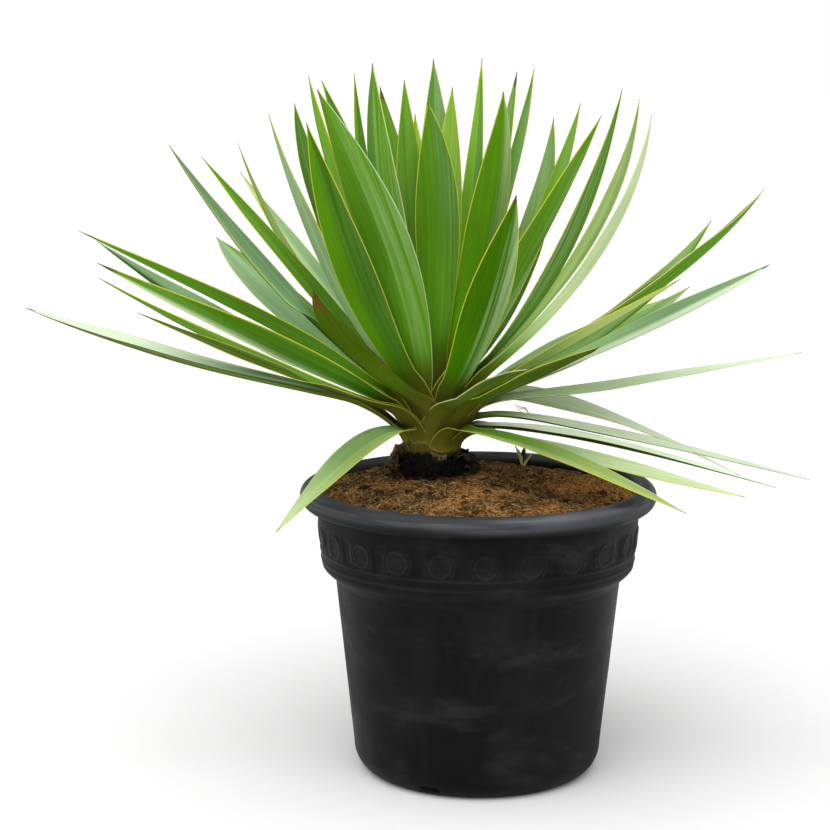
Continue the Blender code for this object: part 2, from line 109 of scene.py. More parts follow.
# Along a blade, from 0 at its root to 1 at its tip, where each of these sets in and is complete
CLASP_ENDS = (0.1, 0.42)
LIFT_ENDS = (0.0, 0.2)
UNFOLDS = (0.6, 1)
TIP_THINS = (0.9, 1)
WAVE_STARTS = (0.1, 0.4)
WAVE_ENDS = (0.85, 1)
BLOOM_SHEEN_STARTS = (0.12, 0.3)
BLOOM_SHEEN_ENDS = (0.85, 1)
MARGIN_STARTS = (-0.02, 0.2)
SHEATH_TINT_STARTS = (-0.1, -0.03)
BASE_TINT_ENDS = (0.04, 0.26)
INNER_PAINTED_FILL_ENDS = (0.25, 0.6)
# Painted light: a blade's inner part, which the crown above shades, is painted lighter by this
# share
INNER_PAINTED_FILL = 0.45  # how much lighter than its tip a blade's inner part is
KEEL_LIGHT = 1.25
KEEL_SHARE = 0.6
KEEL_HALF = 0.12
SPLIT_HALF = 0.25  # how softly a blade's two colours meet
BASE_GOLD = 0.45  # how golden the margin is at the base
BROWN_FROM = 0.985
BACK_APART = 200  # the outer face's veins lie this far from the upper face's
BLADES_APART = 37.7
WAVES_APART = 7.3

# Pot, as in the solids
POT_HEIGHT = 291.5
FOOT_RADIUS = 104
BODY_RADIUS_LOW = 124.8
BODY_Z_LOW = 25.5
BODY_RADIUS_HIGH = 142.5
BODY_Z_HIGH = 194
BAND_RADIUS_LOW = 156.3
BAND_Z_LOW = 212
BAND_RADIUS_HIGH = 161.5
BAND_RADIUS = 158.5
LIP_RADIUS = 178
LIP_ROLL = 11
WALL = 3.5
FOOT_ROWS = 18
BODY_ROWS = 14
FLARE_ROWS = 8
BAND_ROWS = 48
LIP_ROWS = 16
LIP_START = -72
LIP_TURN = 186
FLOOR_Z = 5
UNDER_ROWS = ((0.2, 1.5), (0.93, 1.5), (0.95, 0.2), (1, 0))  # share of the foot's radius, height
RING_COUNT = 23
RING_FIRST = -89
RING_RADIUS = 10.5
RING_Z = 241
RING_PROUD = 1.3
RING_SOFT = 1.3
DISH_PROUD = 0.5
BRACKET_RADIUS = 14.5
BRACKET_PROUD = 0.8
BRACKET_SOFT = 0.9
BRACKET_ENDS = (0.65, 0.95)
HOLLOW_DEEP = 0.6
HOLLOW_SIDE = (0.7, 0.85)
HOLLOW_HALF = (8, 14)
BAND_RIBS = (217.5, 227)
RIB_PROUD = 0.9
RIB_SOFT = 1.2
SLOT_COUNT = 4
SLOT_FIRST = 246
SLOT_WIDTH = 20
SLOT_Z = 9
SLOT_HEIGHT = 5
SLOT_DEEP = 3.2
SLOT_SOFT = 0.8
POT_COLUMNS = 756
POT_LUMP = 0.25
# How much paler the band's raised relief is, for each millimetre of its height: partly wear, partly
# a painted highlight that brings the relief out. The foot's slots take a negative share for each
# millimetre of their depth
BAND_WEAR_AND_HIGHLIGHT = 0.08
SLOT_WEAR = 0.3
# The lip's painted sheen, a highlight along the top of its roll: its share, and how far below the
# top it sets in and is complete
LIP_PAINTED_SHEEN = ((0.4, 18, 10), (0.6, 9, 3))

# Coir mix
SOIL_EDGE_Z = 286
SOIL_SINK = 12
SOIL_PLAY = 0.5
SOIL_BASE_Z = 30
SOIL_RUN = 130  # from the wall in to the stem
SOIL_WALL_REACH = 155  # from the middle out to the wall, and how much less that is at the stem
SOIL_STEM_LESS = 120
WALL_LEAN = 0.06
STEM_HOLE_RADIUS = 26.5
SOIL_ROWS = 90
SOIL_COLUMNS = 320
FIBRE_COUNT = 7500
FIBRE_POINTS = 4
CRUMB_COUNT = 330
PALE_CRUMBS = 0.12
SMALL_CRUMBS = 0.8
# Where a pool of painted light makes the mix paler and more orange, and round where it is darker at
# the stem's foot, each with where that fades
LIT_PATCH_X, LIT_PATCH_Y, LIT_PATCH_FADES = 118, -18, (15, 70)
DARK_FOOT_X, DARK_FOOT_Y, DARK_FOOT_FADES = -12, -6, (34, 62)

# Stem, torn bases and side shoot
GOLDEN_ANGLE = 137.5
INNER_RADIUS = 21
STEM_FOOT_Z = SOIL_TOP_Z - 20
STEM_ROWS = 48
STEM_COLUMNS = 72
STEM_GREENS = (318, 336)
STUB_COUNT = 14
STUB_LOW = 312
FLAKE_COUNT = 150
FALLEN_COUNT = 26
FALLEN_FROM, FALLEN_TO = 185, 262
STANDS_IN = 2.5  # how much nearer the stem than the sheaths the torn bases are
SHEET_HALF = 0.35
STUB_GRID, FLAKE_GRID, FLAP_GRID, PATCH_GRID = (9, 13), (7, 9), (10, 9), (7, 7)
STRAND_SIDES = 3
STRAND_UP = Vector((0.3, 0.2, 0.93))
STRAND_TAPER = 0.6
# Flaps of torn sheath that stand off the collar: azimuth, height, reach, half height, how dry
FLAPS = (
    (186, 325, 20, 10, 1),
    (198, 318, 17, 8, 0.3),
    (355, 321, 20, 5, 0.05),
    (336, 324, 15, 4, 0.15),
    (8, 317, 23, 5, 0.05),
    (24, 312, 26, 4, 0.1),
)
# Dry patches that lie against the stem: azimuth, height, half width, half height
PATCHES = ((288, 322, 4, 3), (272, 325, 4, 2.5))
SHOOT_X = 48
SHOOT_Y = 62
SHOOT_ROOT_Z = 292
SHOOT_CLASP_HALF = 2.4
SHOOT_BLADES = (
    (200, 9, 318, 7, "straw rust", "rust straw"),
    (60, 4, 316, 6, "moss", "moss"),
    (340, 10, 309, 5, "straw lime", "straw"),
)

SEEDS = {"threads": 41, "soil": 11, "fibres": 23, "crumbs": 5, "stem": 7, "collar": 31}

# Colours as the eye reads them, 0 to 255
PALETTE = {
    "deep": (62, 110, 8),
    "green": (88, 140, 22),
    "fresh": (110, 162, 42),
    "bright": (142, 186, 62),
    "teal": (88, 138, 52),
    "bloom": (122, 158, 94),
    "mist": (112, 150, 106),
    "haze": (138, 172, 126),
    "milk": (222, 238, 212),
    "pine": (54, 86, 48),
    "sage": (150, 176, 100),
    "pale": (196, 216, 166),
    "lime": (176, 196, 116),
    "moss": (68, 92, 14),
    "olive": (86, 92, 26),
    "dark": (44, 54, 8),
    "base": (98, 98, 32),
    "sheath": (122, 112, 34),
    "gold": (208, 206, 74),
    "straw": (214, 216, 150),
    "rust": (150, 96, 38),
    "tip": (88, 76, 30),
}

# Each leaf: its name, then azimuth, tip's distance out and height, width, bow, where it peaks,
# sway, roll and fold, as in the solids but for some widths, rolls and folds. Then the colours of
# its upper and of its outer face, left and right of the keel as seen with the tip up and that
# blade's +side on the right, or one for both
LEAVES = (
    ("B1", (226, 210, 274, 34, 35, 0.34, 25, -8, 0.28), "pale", "olive sage"),
    ("R12", (314, 322, 309, 37, 12, 0.25, 0, -2, 0.2), "lime sage", "olive"),
    ("R8", (26, 375, 264, 40, 40, 0.16, 24, 24, 0.22), "milk", "olive"),
    ("R10", (346, 340, 302, 34, 12, 0.18, 2, -2, 0.3), "moss milk", "dark olive"),
    ("R11", (330, 331, 310, 38, -2, 0.36, -9, 4, 0.34), "pale", "dark olive"),
    ("R9", (6, 389, 285, 38, 12, 0.16, 6, 4, 0.2), "milk", "moss olive"),
    ("R7", (16, 403, 407, 40, 0, 0.18, 0, 2, 0.2), "milk", "olive sage"),
    ("L1", (172, 417, 460, 42, -10, 0.62, 0, -2, 0.4), "milk", "green olive"),
    ("L7", (125, 353, 426, 40, 4, 0.42, 0, 0, 0.3), "bloom teal", "olive"),
    ("K1", (100, 350, 415, 40, 10, 0.42, 0, 0, 0.3), "lime bloom", "olive"),
    ("K2", (74, 345, 470, 40, 2, 0.42, 0, 0, 0.3), "bloom teal", "olive"),
    ("R14", (286, 300, 447, 24, 10, 0.44, 17, 2, 0.4), "sage moss", "moss"),
    ("R13", (302, 272, 458, 34, 5, 0.48, 25, 0, 0.26), "moss green", "moss dark"),
    ("L21", (254, 362, 520, 42, 6, 0.46, -27, -14, 0.2), "moss", "moss"),
    ("R4", (33, 332, 469, 38, -10, 0.44, -10, 10, 0.34), "haze bloom", "olive"),
    ("R6", (42, 346, 450, 42, -3, 0.42, 0, 20, 0.3), "haze", "olive"),
    ("L6", (226, 367, 492, 28, -5, 0.5, 0, 0, 0.2), "moss", "dark"),
    ("L5", (208, 344, 512, 38, -14, 0.36, 0, 10, 0.2), "green", "moss green"),
    ("L3", (164, 358, 524, 34, -14, 0.43, 0, -17, 0.36), "mist pine", "dark"),
    ("R5", (2, 334, 508, 34, -5, 0.65, 0, 18, 0.2), "milk mist", "milk mist"),
    ("L4", (198, 330, 520, 44, -5, 0.25, 17, 30, 0.42), "green", "pale green"),
    ("L2", (188, 343, 546, 38, 4, 0.28, 0, 24, 0.35), "green", "green"),
    ("R3", (318, 294, 514, 30, -3, 0.6, 0, 0, 0.3), "sage lime", "lime moss"),
    ("L8", (142, 291, 522, 42, 5, 0.55, 24, -22, 0.2), "green haze", "green"),
    ("R2", (20, 307, 545, 38, -26, 0.52, -18, 9, 0.4), "teal bloom", "green lime"),
    ("R1", (349, 320, 587, 42, -22, 0.68, 3, 0, 0.5), "green moss", "green bloom"),
    ("L12", (130, 325, 588, 27, -3, 0.44, 8, 0, 0.3), "haze pale", "haze pale"),
    ("L9", (184, 255, 626, 33, -17, 0.42, 0, 8, 0.2), "mist lime", "moss green"),
    ("L10", (166, 239, 613, 34, -6, 0.3, -5, -12, 0.2), "green fresh", "green"),
    ("L11", (145, 246, 623, 27, -23, 0.45, 18, 18, 0.3), "sage fresh", "green bloom"),
    ("T15", (286, 254, 591, 42, -6, 0.44, 6, -4, 0.3), "teal bloom", "deep bloom"),
    ("L19", (244, 252, 652, 38, -8, 0.41, -11, 15, 0.2), "green", "green deep"),
    ("T18", (316, 210, 657, 37, -5, 0.41, 1, 0, 0.2), "bloom teal", "green"),
    ("T21", (332, 227, 656, 42, -38, 0.65, 0, 16, 0.45), "pale milk", "pale milk"),
    ("T20", (12, 210, 669, 34, -36, 0.6, 0, 4, 0.2), "bloom sage", "bloom sage"),
    ("T19", (344, 186, 680, 33, -31, 0.43, 0, -18, 0.2), "green teal", "teal green"),
    ("T16", (46, 182, 649, 38, -18, 0.42, -22, 2, 0.3), "bloom", "green"),
    ("T17", (30, 174, 665, 36, -14, 0.44, -11, 0, 0.3), "bloom fresh", "green lime"),
    ("L18", (238, 196, 680, 48, -12, 0.43, 28, 24, 0.35), "green teal", "green"),
    ("L13", (186, 159, 656, 42, -21, 0.4, 0, 10, 0.45), "pale haze", "haze"),
    ("L15", (158, 148, 665, 42, -13, 0.57, 18, -12, 0.38), "teal", "green"),
    ("T1", (156, 84, 694, 34, -14, 0.41, 8, 0, 0.3), "green bright", "green bright"),
    ("T3", (112, 142, 681, 36, 0, 0.4, -3, 0, 0.3), "green", "green"),
    ("L17", (128, 185, 687, 36, 9, 0.42, 0, 0, 0.3), "deep teal", "deep"),
    ("T14", (53, 177, 700, 26, -19, 0.56, 0, -22, 0.4), "bloom teal", "green teal"),
    ("T12", (34, 102, 696, 36, -5, 0.44, -5, 0, 0.3), "fresh bloom", "green"),
    ("T13", (296, 144, 678, 42, 3, 0.49, 18, 0, 0.45), "green sage", "green sage"),
    ("T7", (268, 160, 669, 42, 12, 0.55, 9, 8, 0.4), "teal", "green teal"),
    ("T10", (70, 153, 710, 21, -5, 0.41, -6, -3, 0.36), "teal fresh", "teal fresh"),
    ("L16", (184, 120, 692, 40, -15, 0.51, 0, 20, 0.36), "fresh", "fresh"),
    ("T2", (206, 64, 704, 44, -18, 0.48, 2, 20, 0.32), "green teal", "teal green"),
    ("T4", (118, 59, 688, 34, 2, 0.47, 4, 0, 0.3), "fresh", "fresh"),
    ("T5a", (100, 98, 654, 30, 0, 0.42, 0, 0, 0.3), "bright fresh", "fresh"),
    ("T8", (84, 87, 677, 32, 0, 0.42, 0, 0, 0.3), "deep", "deep"),
)

# The youngest blades, which make up the heart
HEART_BLADES = (
    ("T6", (88, 30, 708, 40, 0, 0.42, -4, 0, 0.3), "bloom teal", "green"),
    ("T9", (335, 21, 681, 34, 0, 0.45, 2, 0, 0.34), "bright", "bright"),
    ("T5", (160, 12, 600, 16, 0, 0.45, 0, 0, 0.5), "bright", "bright"),
    ("T11", (250, 10, 580, 14, 0, 0.45, 0, 0, 0.5), "bright", "bright"),
)

# Blades that twist on the way: by how many degrees, from where to where
TWISTS = {"L9": (-33, 0.38, 0.5), "L6": (-25, 0.35, 0.5)}
TWISTS |= {"R8": (-8, 0.5, 0.8), "T9": (-60, 0.1, 0.4)}
NO_TWIST = (0, 0.4, 0.6)
# Blades that rise over their solid's course near the base: by how much and where
HUMPS = {"R7": (9, 0.22), "L1": (4, 0.14), "R8": (5, 0.2), "R9": (5, 0.24)}
NO_HUMP = (0, 0.2)
# Where across the blade its two colours meet, other than at the keel
SPLITS = {"T13": 0.35, "T15": 0.5, "L8": -0.5, "L9": 0.5, "L4": 0.1, "R10": -0.6}
# Blades of another colour in their inner part, and where along them it changes
INNERS = {
    "B1": ("bloom sage", "olive sage", 0.6, 1.1),
    "L1": ("pine olive", "moss", 0.3, 0.7),
    "L3": ("pine", "dark", 0.5, 0.72),
    "L4": ("green", "lime deep", 0.2, 0.5),
    "R1": ("green moss", "moss green", 0.3, 0.6),
    "R5": ("milk haze", "milk haze", 0.4, 0.65),
    "R7": ("sage", "olive sage", 0.1, 0.35),
    "R9": ("olive sage", "dark", 0.25, 0.42),
    "R11": ("sage haze", "olive", 0.35, 0.7),
    "R12": ("lime green", "olive", 0.3, 0.75),
    "T7": ("green", "green", 0.3, 0.8),
    "T21": ("sage lime", "green lime", 0.1, 0.4),
}
# The blade with loose threads at its margin, and which of its points they come from
FRAYED = "R9"
FRAYED_POINT = 1205
THREAD_COUNT = 6
THREAD_POINTS = 6
# Where a blade clasps the stem, if not under its own seat: the azimuth and the height
CLASPED = {"B1": (190, 345)}

# The margins' colours, left and right, where they aren't gold
EDGES = {
    "B1": "sage gold", "L1": "straw dark", "L2": "rust gold", "L3": "straw moss", "L8": "straw",
    "L9": "gold dark", "L18": "rust pale", "L21": "olive", "R1": "straw gold",
    "R5": "pale straw", "R7": "pale", "R8": "gold pale", "R9": "olive rust", "R10": "moss pale",
    "R12": "gold straw", "R14": "straw", "T2": "gold straw", "T3": "rust gold",
    "T13": "gold pale", "T21": "straw",
}
PLAIN_EDGE = "gold"
# How strongly pale streaks mark a blade, left and right of its keel: partly a whitish bloom, partly
# painted sheen
BLOOM_SHEEN_STREAKS = {
    "L1": (0.7, 0.3), "L8": (0.4, 0.4), "L13": (0.5, 0.5), "L18": (0.05, 0.32),
    "L19": (0.0, 0.1), "L21": (0.0, 0.0), "R5": (0.7, 0.3), "R6": (0.4, 0.4), "R7": (0.8, 0.8),
    "R8": (0.6, 0.6), "R9": (0.6, 0.6), "R11": (0.4, 0.4), "T2": (0.05, 0.32),
    "T7": (0.05, 0.2), "T13": (0.0, 0.3), "T15": (0.0, 0.5), "T18": (0.1, 0.4),
    "T19": (0.4, 0.2), "T20": (0.6, 0.2), "T21": (0.4, 0.8),
}
PLAIN_BLOOM_SHEEN = (0.14, 0.14)
# Blades whose tips narrow in a straighter line
TAPERS = {"L21": 1.15, "R14": 1.3}
# Blades that clasp the stem with a narrower base: half its width
CLASPS = {"B1": 8}
# Blades that are brown well before the tip: from where on
BROWNED = {"L1": 0.96, "L2": 0.955, "L4": 0.95, "L5": 0.96, "L6": 0.955, "L21": 0.8, "R3": 0.95}
BROWNED |= {"R5": 0.955, "R14": 0.93, "T3": 0.95, "T11": 0.9, "T12": 0.95, "T15": 0.96}


def linear(colour):
    """Linear red, green and blue of a PALETTE name or of 0 to 255 values."""
    values = PALETTE[colour] if isinstance(colour, str) else colour
    made = []
    for value in values:
        share = value / 255
        made.append(share / 12.92 if share < 0.04045 else ((share + 0.055) / 1.055) ** 2.4)
    return tuple(made)


# Damp hollows, brown coir, dry orange coir and straw
COIR = [linear(one) for one in ((34, 24, 13), (100, 68, 32), (190, 134, 72), (218, 182, 128))]
# Rotted black, dark brown and dry papery bases
BARK = [linear(one) for one in ((8, 7, 5), (34, 26, 16), (186, 158, 122))]


def smooth(x):
    x = min(1, max(0, x))
    return x * x * (3 - 2 * x)


def fade(x, low, high):
    return smooth((x - low) / (high - low))


def mix(one, other, share):
    return tuple(a + (b - a) * share for a, b in zip(one, other))


def outward(turn):
    """The level direction at an angle."""
    return Vector((cos(turn), sin(turn), 0))


def around(count):
    """The angles of points spread evenly round a circle."""
    return [2 * pi * k / count for k in range(count)]


def shares(count):
    """Numbers spread evenly from 0 to 1."""
    return [k / (count - 1) for k in range(count)]


def add_object(name, data):
    thing = bpy.data.objects.new(name, data)
    bpy.context.scene.collection.objects.link(thing)
    return thing


def mesh_object(name, points, faces, material, smooth_shaded=True):
    """A mesh object from points in millimetres."""
    mesh = bpy.data.meshes.new(name)
    mesh.from_pydata([(x * MM, y * MM, z * MM) for x, y, z in points], [], faces)
    mesh.materials.append(material)
    mesh.polygons.foreach_set("use_smooth", [smooth_shaded] * len(mesh.polygons))
    mesh.update()
    return add_object(name, mesh)


def paint(thing, name, colours):
    """Stores one linear colour a point."""
    layer = thing.data.color_attributes.new(name, "FLOAT_COLOR", "POINT")
    flat = np.ones((len(colours), 4), np.float32)
    flat[:, :3] = colours
    layer.data.foreach_set("color", flat.ravel())


def store(thing, name, kind, values):
    """Stores one number or one vector a point."""
    layer = thing.data.attributes.new(name, kind, "POINT")
    field = "vector" if kind == "FLOAT_VECTOR" else "value"
    layer.data.foreach_set(field, np.asarray(values, np.float32).ravel())


def turn_outwards(thing):
    shape = bmesh.new()
    shape.from_mesh(thing.data)
    bmesh.ops.recalc_face_normals(shape, faces=shape.faces)
    shape.to_mesh(thing.data)
    shape.free()


class Shapes:
    """The points, faces and colours of one object, added up form by form."""

    def __init__(self):
        self.points, self.faces, self.tints = [], [], []

    def join_rings(self, rings, columns, first=0):
        """Quads between rings of points, in the order of the rings given, and both end faces."""
        for low, high in zip(rings, rings[1:]):
            a, b = first + low * columns, first + high * columns
            for k in range(columns):
                after = (k + 1) % columns
                self.faces.append((a + k, a + after, b + after, b + k))
        for ring, step in ((rings[0], -1), (rings[-1], 1)):
            start = first + ring * columns
            self.faces.append(tuple(range(start, start + columns))[::step])

    def strand(self, path, radius, shade):
        """Adds a thin tapering tube along a path."""
        first = len(self.points)
        last = len(path) - 1
        for k, point in enumerate(path):
            along = (path[min(k + 1, last)] - path[max(k - 1, 0)]).normalized()
            across = along.cross(STRAND_UP).normalized()
            lift = across.cross(along)
            size = radius * (1 - STRAND_TAPER * abs(2 * k / last - 1))
            for angle in around(STRAND_SIDES):
                place = point + across * size * cos(angle)
                self.points.append(place + lift * size * sin(angle))
                self.tints.append(shade)
        self.join_rings(range(last + 1), STRAND_SIDES, first)

    def sheet(self, rows, columns, place):
        """Adds a thin two-sided sheet: place gives a point, its normal and its colour."""
        first = len(self.points)
        grid = [place(up, 2 * share - 1) for up in shares(rows) for share in shares(columns)]
        for face in (1, -1):
            for point, normal, shade in grid:
                self.points.append(point + normal * SHEET_HALF * face)
                self.tints.append(shade)
        back = rows * columns
        for i in range(rows - 1):
            for j in range(columns - 1):
                a = first + i * columns + j
                quad = (a, a + 1, a + columns + 1, a + columns)
                self.faces.append(quad)
                self.faces.append(tuple(k + back for k in reversed(quad)))
        rim = list(range(columns)) + [(i + 1) * columns - 1 for i in range(1, rows)]
        rim += [(rows - 1) * columns + j for j in range(columns - 2, -1, -1)]
        rim += [i * columns for i in range(rows - 2, 0, -1)]
        for one, other in zip(rim, rim[1:] + rim[:1]):
            a, b = first + one, first + other
            self.faces.append((b, a, a + back, b + back))

    def build(self, name, material):
        """The object, in the colours of its forms."""
        thing = mesh_object(name, self.points, self.faces, material)
        paint(thing, "tint", self.tints)
        return thing


class Nodes:
    """A short way to write a material's node tree."""

    def __init__(self, name):
        self.material = bpy.data.materials.new(name)
        self.material.use_nodes = True
        self.tree = self.material.node_tree
        self.shader = self.tree.nodes["Principled BSDF"]

    def add(self, kind, values=None, **settings):
        node = self.tree.nodes.new("ShaderNode" + kind)
        for key, value in settings.items():
            setattr(node, key, value)
        for key, value in (values or {}).items():
            self.feed(node.inputs[key], value)
        return node

    def feed(self, socket, value):
        if isinstance(value, bpy.types.NodeSocket):
            self.tree.links.new(value, socket)
        else:
            socket.default_value = value

    def attribute(self, name, output):
        return self.add("Attribute", attribute_name=name).outputs[output]

    def noise(self, vector, scale, detail=3, rough=0.5):
        values = {"Vector": vector, "Scale": scale, "Detail": detail, "Roughness": rough}
        return self.add("TexNoise", values).outputs["Fac"]

    def place(self):
        return self.add("TexCoord").outputs["Object"]

    def scaled(self, vector, scale):
        return self.add("Mapping", {"Vector": vector, "Scale": scale}).outputs[0]

    def ramp(self, value, low, high, start=0.0, end=1.0):
        values = {"Value": value, "From Min": low, "From Max": high, "To Min": start, "To Max": end}
        return self.add("MapRange", values, interpolation_type="SMOOTHSTEP").outputs[0]

    def maths(self, operation, one, other):
        node = self.add("Math", operation=operation)
        self.feed(node.inputs[0], one)
        self.feed(node.inputs[1], other)
        return node.outputs[0]

    def blend(self, share, one, other, kind="MIX"):
        node = self.add("Mix", data_type="RGBA", blend_type=kind)
        self.feed(node.inputs[0], share)
        self.feed(node.inputs[6], one)
        self.feed(node.inputs[7], other)
        return node.outputs[2]

    def bump(self, height, distance, strength):
        values = {"Height": height, "Distance": distance, "Strength": strength}
        self.feed(self.shader.inputs["Normal"], self.add("Bump", values).outputs[0])

    def surface(self, colour, roughness, specular):
        self.feed(self.shader.inputs["Base Color"], colour)
        self.feed(self.shader.inputs["Roughness"], roughness)
        self.shader.inputs["Specular IOR Level"].default_value = specular


def grey(value):
    return (value, value, value, 1)


def leaf_material():
    """Waxy blade: fine lengthwise veins, pale streaks that are partly bloom and partly painted
    sheen, and a thin yellow margin.
    """
    n = Nodes("yucca_leaf")
    tint = n.attribute("tint", "Color")
    edge = n.attribute("edge", "Color")
    grain = n.attribute("grain", "Vector")
    rim = n.attribute("rim", "Fac")
    bloom = n.attribute("bloom", "Fac")

    def along_blade(across, along, detail=2, rough=0.5):
        return n.noise(n.scaled(grain, (across, along, 1)), 1, detail, rough)

    veins = along_blade(0.55, 0.006, 3, 0.6)
    hair = along_blade(2.2, 0.02)
    patches = along_blade(0.05, 0.02)
    streak = along_blade(0.42, 0.004, 3, 0.55)
    rust = along_blade(0.02, 0.015)
    colour = n.blend(n.ramp(veins, 0.35, 0.7), tint, (1.2, 1.17, 1.12, 1), "MULTIPLY")
    colour = n.blend(n.ramp(hair, 0.55, 0.35, 0, 0.25), colour, (0.6, 0.65, 0.6, 1), "MULTIPLY")
    colour = n.blend(n.ramp(patches, 0.35, 0.7, 0, 0.5), colour, (0.84, 0.88, 0.76, 1), "MULTIPLY")
    # Painted sheen: the blade has no specular reflection, and these pale streaks, partly waxy
    # bloom, stand in for it
    bloom = n.maths("MULTIPLY", n.ramp(streak, 0.36, 0.74), bloom)
    colour = n.blend(bloom, colour, (*linear("pale"), 1))
    edge = n.blend(n.ramp(rust, 0.6, 0.72, 0, 0.6), edge, (*linear("rust"), 1))
    colour = n.blend(n.ramp(rim, 0.95, 0.4, 0, 0.9), colour, edge)
    n.surface(colour, n.ramp(veins, 0.3, 0.75, 0.4, 0.54), 0)
    height = n.maths("ADD", n.maths("MULTIPLY", veins, 0.7), n.maths("MULTIPLY", hair, 0.3))
    n.bump(height, 0.0006, 0.5)
    return n.material


def blade_share(t, taper=TIP_TAPER):
    """The blade's width at t along it, as a share of its widest."""
    if t < WIDEST_AT:
        return NECK_WIDTH + (1 - NECK_WIDTH) * smooth(max(0, t) / WIDEST_AT)
    return 1 - ((t - WIDEST_AT) / (1 - WIDEST_AT)) ** taper


def spread_seats():
    """Where each leaf's root sits on the crown's dome, eased apart as in the solids."""
    seats = []
    for _, (azimuth, out, z, *_), *_ in LEAVES:
        seats.append([radians(azimuth), atan2(z - CROWN_Z, out) * SEAT_SHARE])
    for _ in range(SEAT_ROUNDS):
        for i, one in enumerate(seats):
            for other in seats[i + 1 :]:
                turn = remainder(other[0] - one[0], 2 * pi)
                wide = CORE_RADIUS * cos((one[1] + other[1]) / 2) / SEAT_WIDE
                tall = CORE_HEIGHT / SEAT_TALL
                across = turn * wide
                above = (other[1] - one[1]) * tall
                apart = hypot(across, above)
                if apart < 1:
                    push = SEAT_PUSH * (1 - apart) / max(apart, SEAT_LEAST)
                    one[0] -= push * across / wide
                    other[0] += push * across / wide
                    one[1] -= push * above / tall
                    other[1] += push * above / tall
    return seats


class Blade:
    """One leaf's run: its sheath up the stem, its curve to the tip and its frame along both."""

    def __init__(self, row, seat, order=0):
        azimuth, tip_out, tip_z, self.width, bow, bow_at, sway, self.roll, self.fold = row
        out = outward(radians(azimuth))
        self.side = Vector((-out.y, out.x, 0))
        self.tip = Vector((STEM_X, 0, tip_z)) + out * tip_out
        level = outward(seat[0]) * cos(seat[1])
        self.root = Vector((STEM_X, 0, CROWN_Z)) + level * CORE_RADIUS
        self.root.z += CORE_HEIGHT * sin(seat[1])
        chord = self.tip - self.root
        arch = chord.cross(self.side).normalized()
        self.bend = self.root + chord * bow_at + arch * bow * 2 + self.side * sway * 2
        self.length = (self.bend - self.root).length + (self.tip - self.bend).length
        self.sheath_turn = seat[0]
        self.taper = TIP_TAPER
        self.clasp = CLASP_HALF
        self.twist = NO_TWIST
        self.hump = NO_HUMP
        self.sheath_radius = SHEATH_RADIUS - SHEATH_STEP * order
        low = SHEATH_LOW + SHEATH_RISE * max(0, self.root.z - CROWN_Z)
        self.sheath_foot = Vector((STEM_X, 0, low)) + level.normalized() * self.sheath_radius

    def clasp_at(self, azimuth, height):
        self.sheath_turn = radians(azimuth)
        level = outward(self.sheath_turn)
        self.sheath_foot = Vector((STEM_X, 0, height)) + level * self.sheath_radius

    def centre(self, t):
        place = self.root * (1 - t) ** 2 + self.bend * 2 * t * (1 - t) + self.tip * t * t
        height, at = self.hump
        rise = height * fade(t, 0, at) * (1 - fade(t, at, at + HUMP_FALL))
        return place + Vector((0, 0, rise))

    def along(self, t):
        return (self.bend - self.root) * (1 - t) + (self.tip - self.bend) * t

    def turned(self, along, t):
        """The sideways and upper-face directions of a section that runs along a direction."""
        upper = along.cross(self.side).normalized()
        side = upper.cross(along).normalized()
        twist, start, end = self.twist
        turn = radians(self.roll * smooth(t * 2) + twist * fade(t, start, end))
        return side * cos(turn) + upper * sin(turn), upper * cos(turn) - side * sin(turn)

    def sheath(self, s):
        """The sheath's middle line and direction, from its foot at 0 to the blade at 1."""
        end = self.centre(SHEATH_T)
        pull = (end - self.sheath_foot).length
        first = Vector((0, 0, pull * SHEATH_PULL))
        last = self.along(SHEATH_T).normalized() * pull
        a = 2 * s**3 - 3 * s**2 + 1
        b = s**3 - 2 * s**2 + s
        c = 3 * s**2 - 2 * s**3
        d = s**3 - s**2
        place = self.sheath_foot * a + first * b + end * c + last * d
        slope = self.sheath_foot * (6 * s * s - 6 * s) + first * (3 * s * s - 4 * s + 1)
        slope += end * (6 * s - 6 * s * s) + last * (3 * s * s - 2 * s)
        return place, slope


def leaf_stations():
    """Stations along a blade as (t, share of the sheath), closer together at both its ends."""
    rows = []
    for k in range(SHEATH_ROWS):
        share = k / SHEATH_ROWS
        rows.append((SHEATH_T * share - SHEATH_SPAN * (1 - share), share))
    for k in range(LEAF_ROWS + 1):
        s = k / LEAF_ROWS
        ease = ROWS_CROWD * sin(2 * pi * s)
        rows.append((SHEATH_T + (1 - SHEATH_T) * (s - ease), None))
    rows[-1] = (1, None)
    return rows


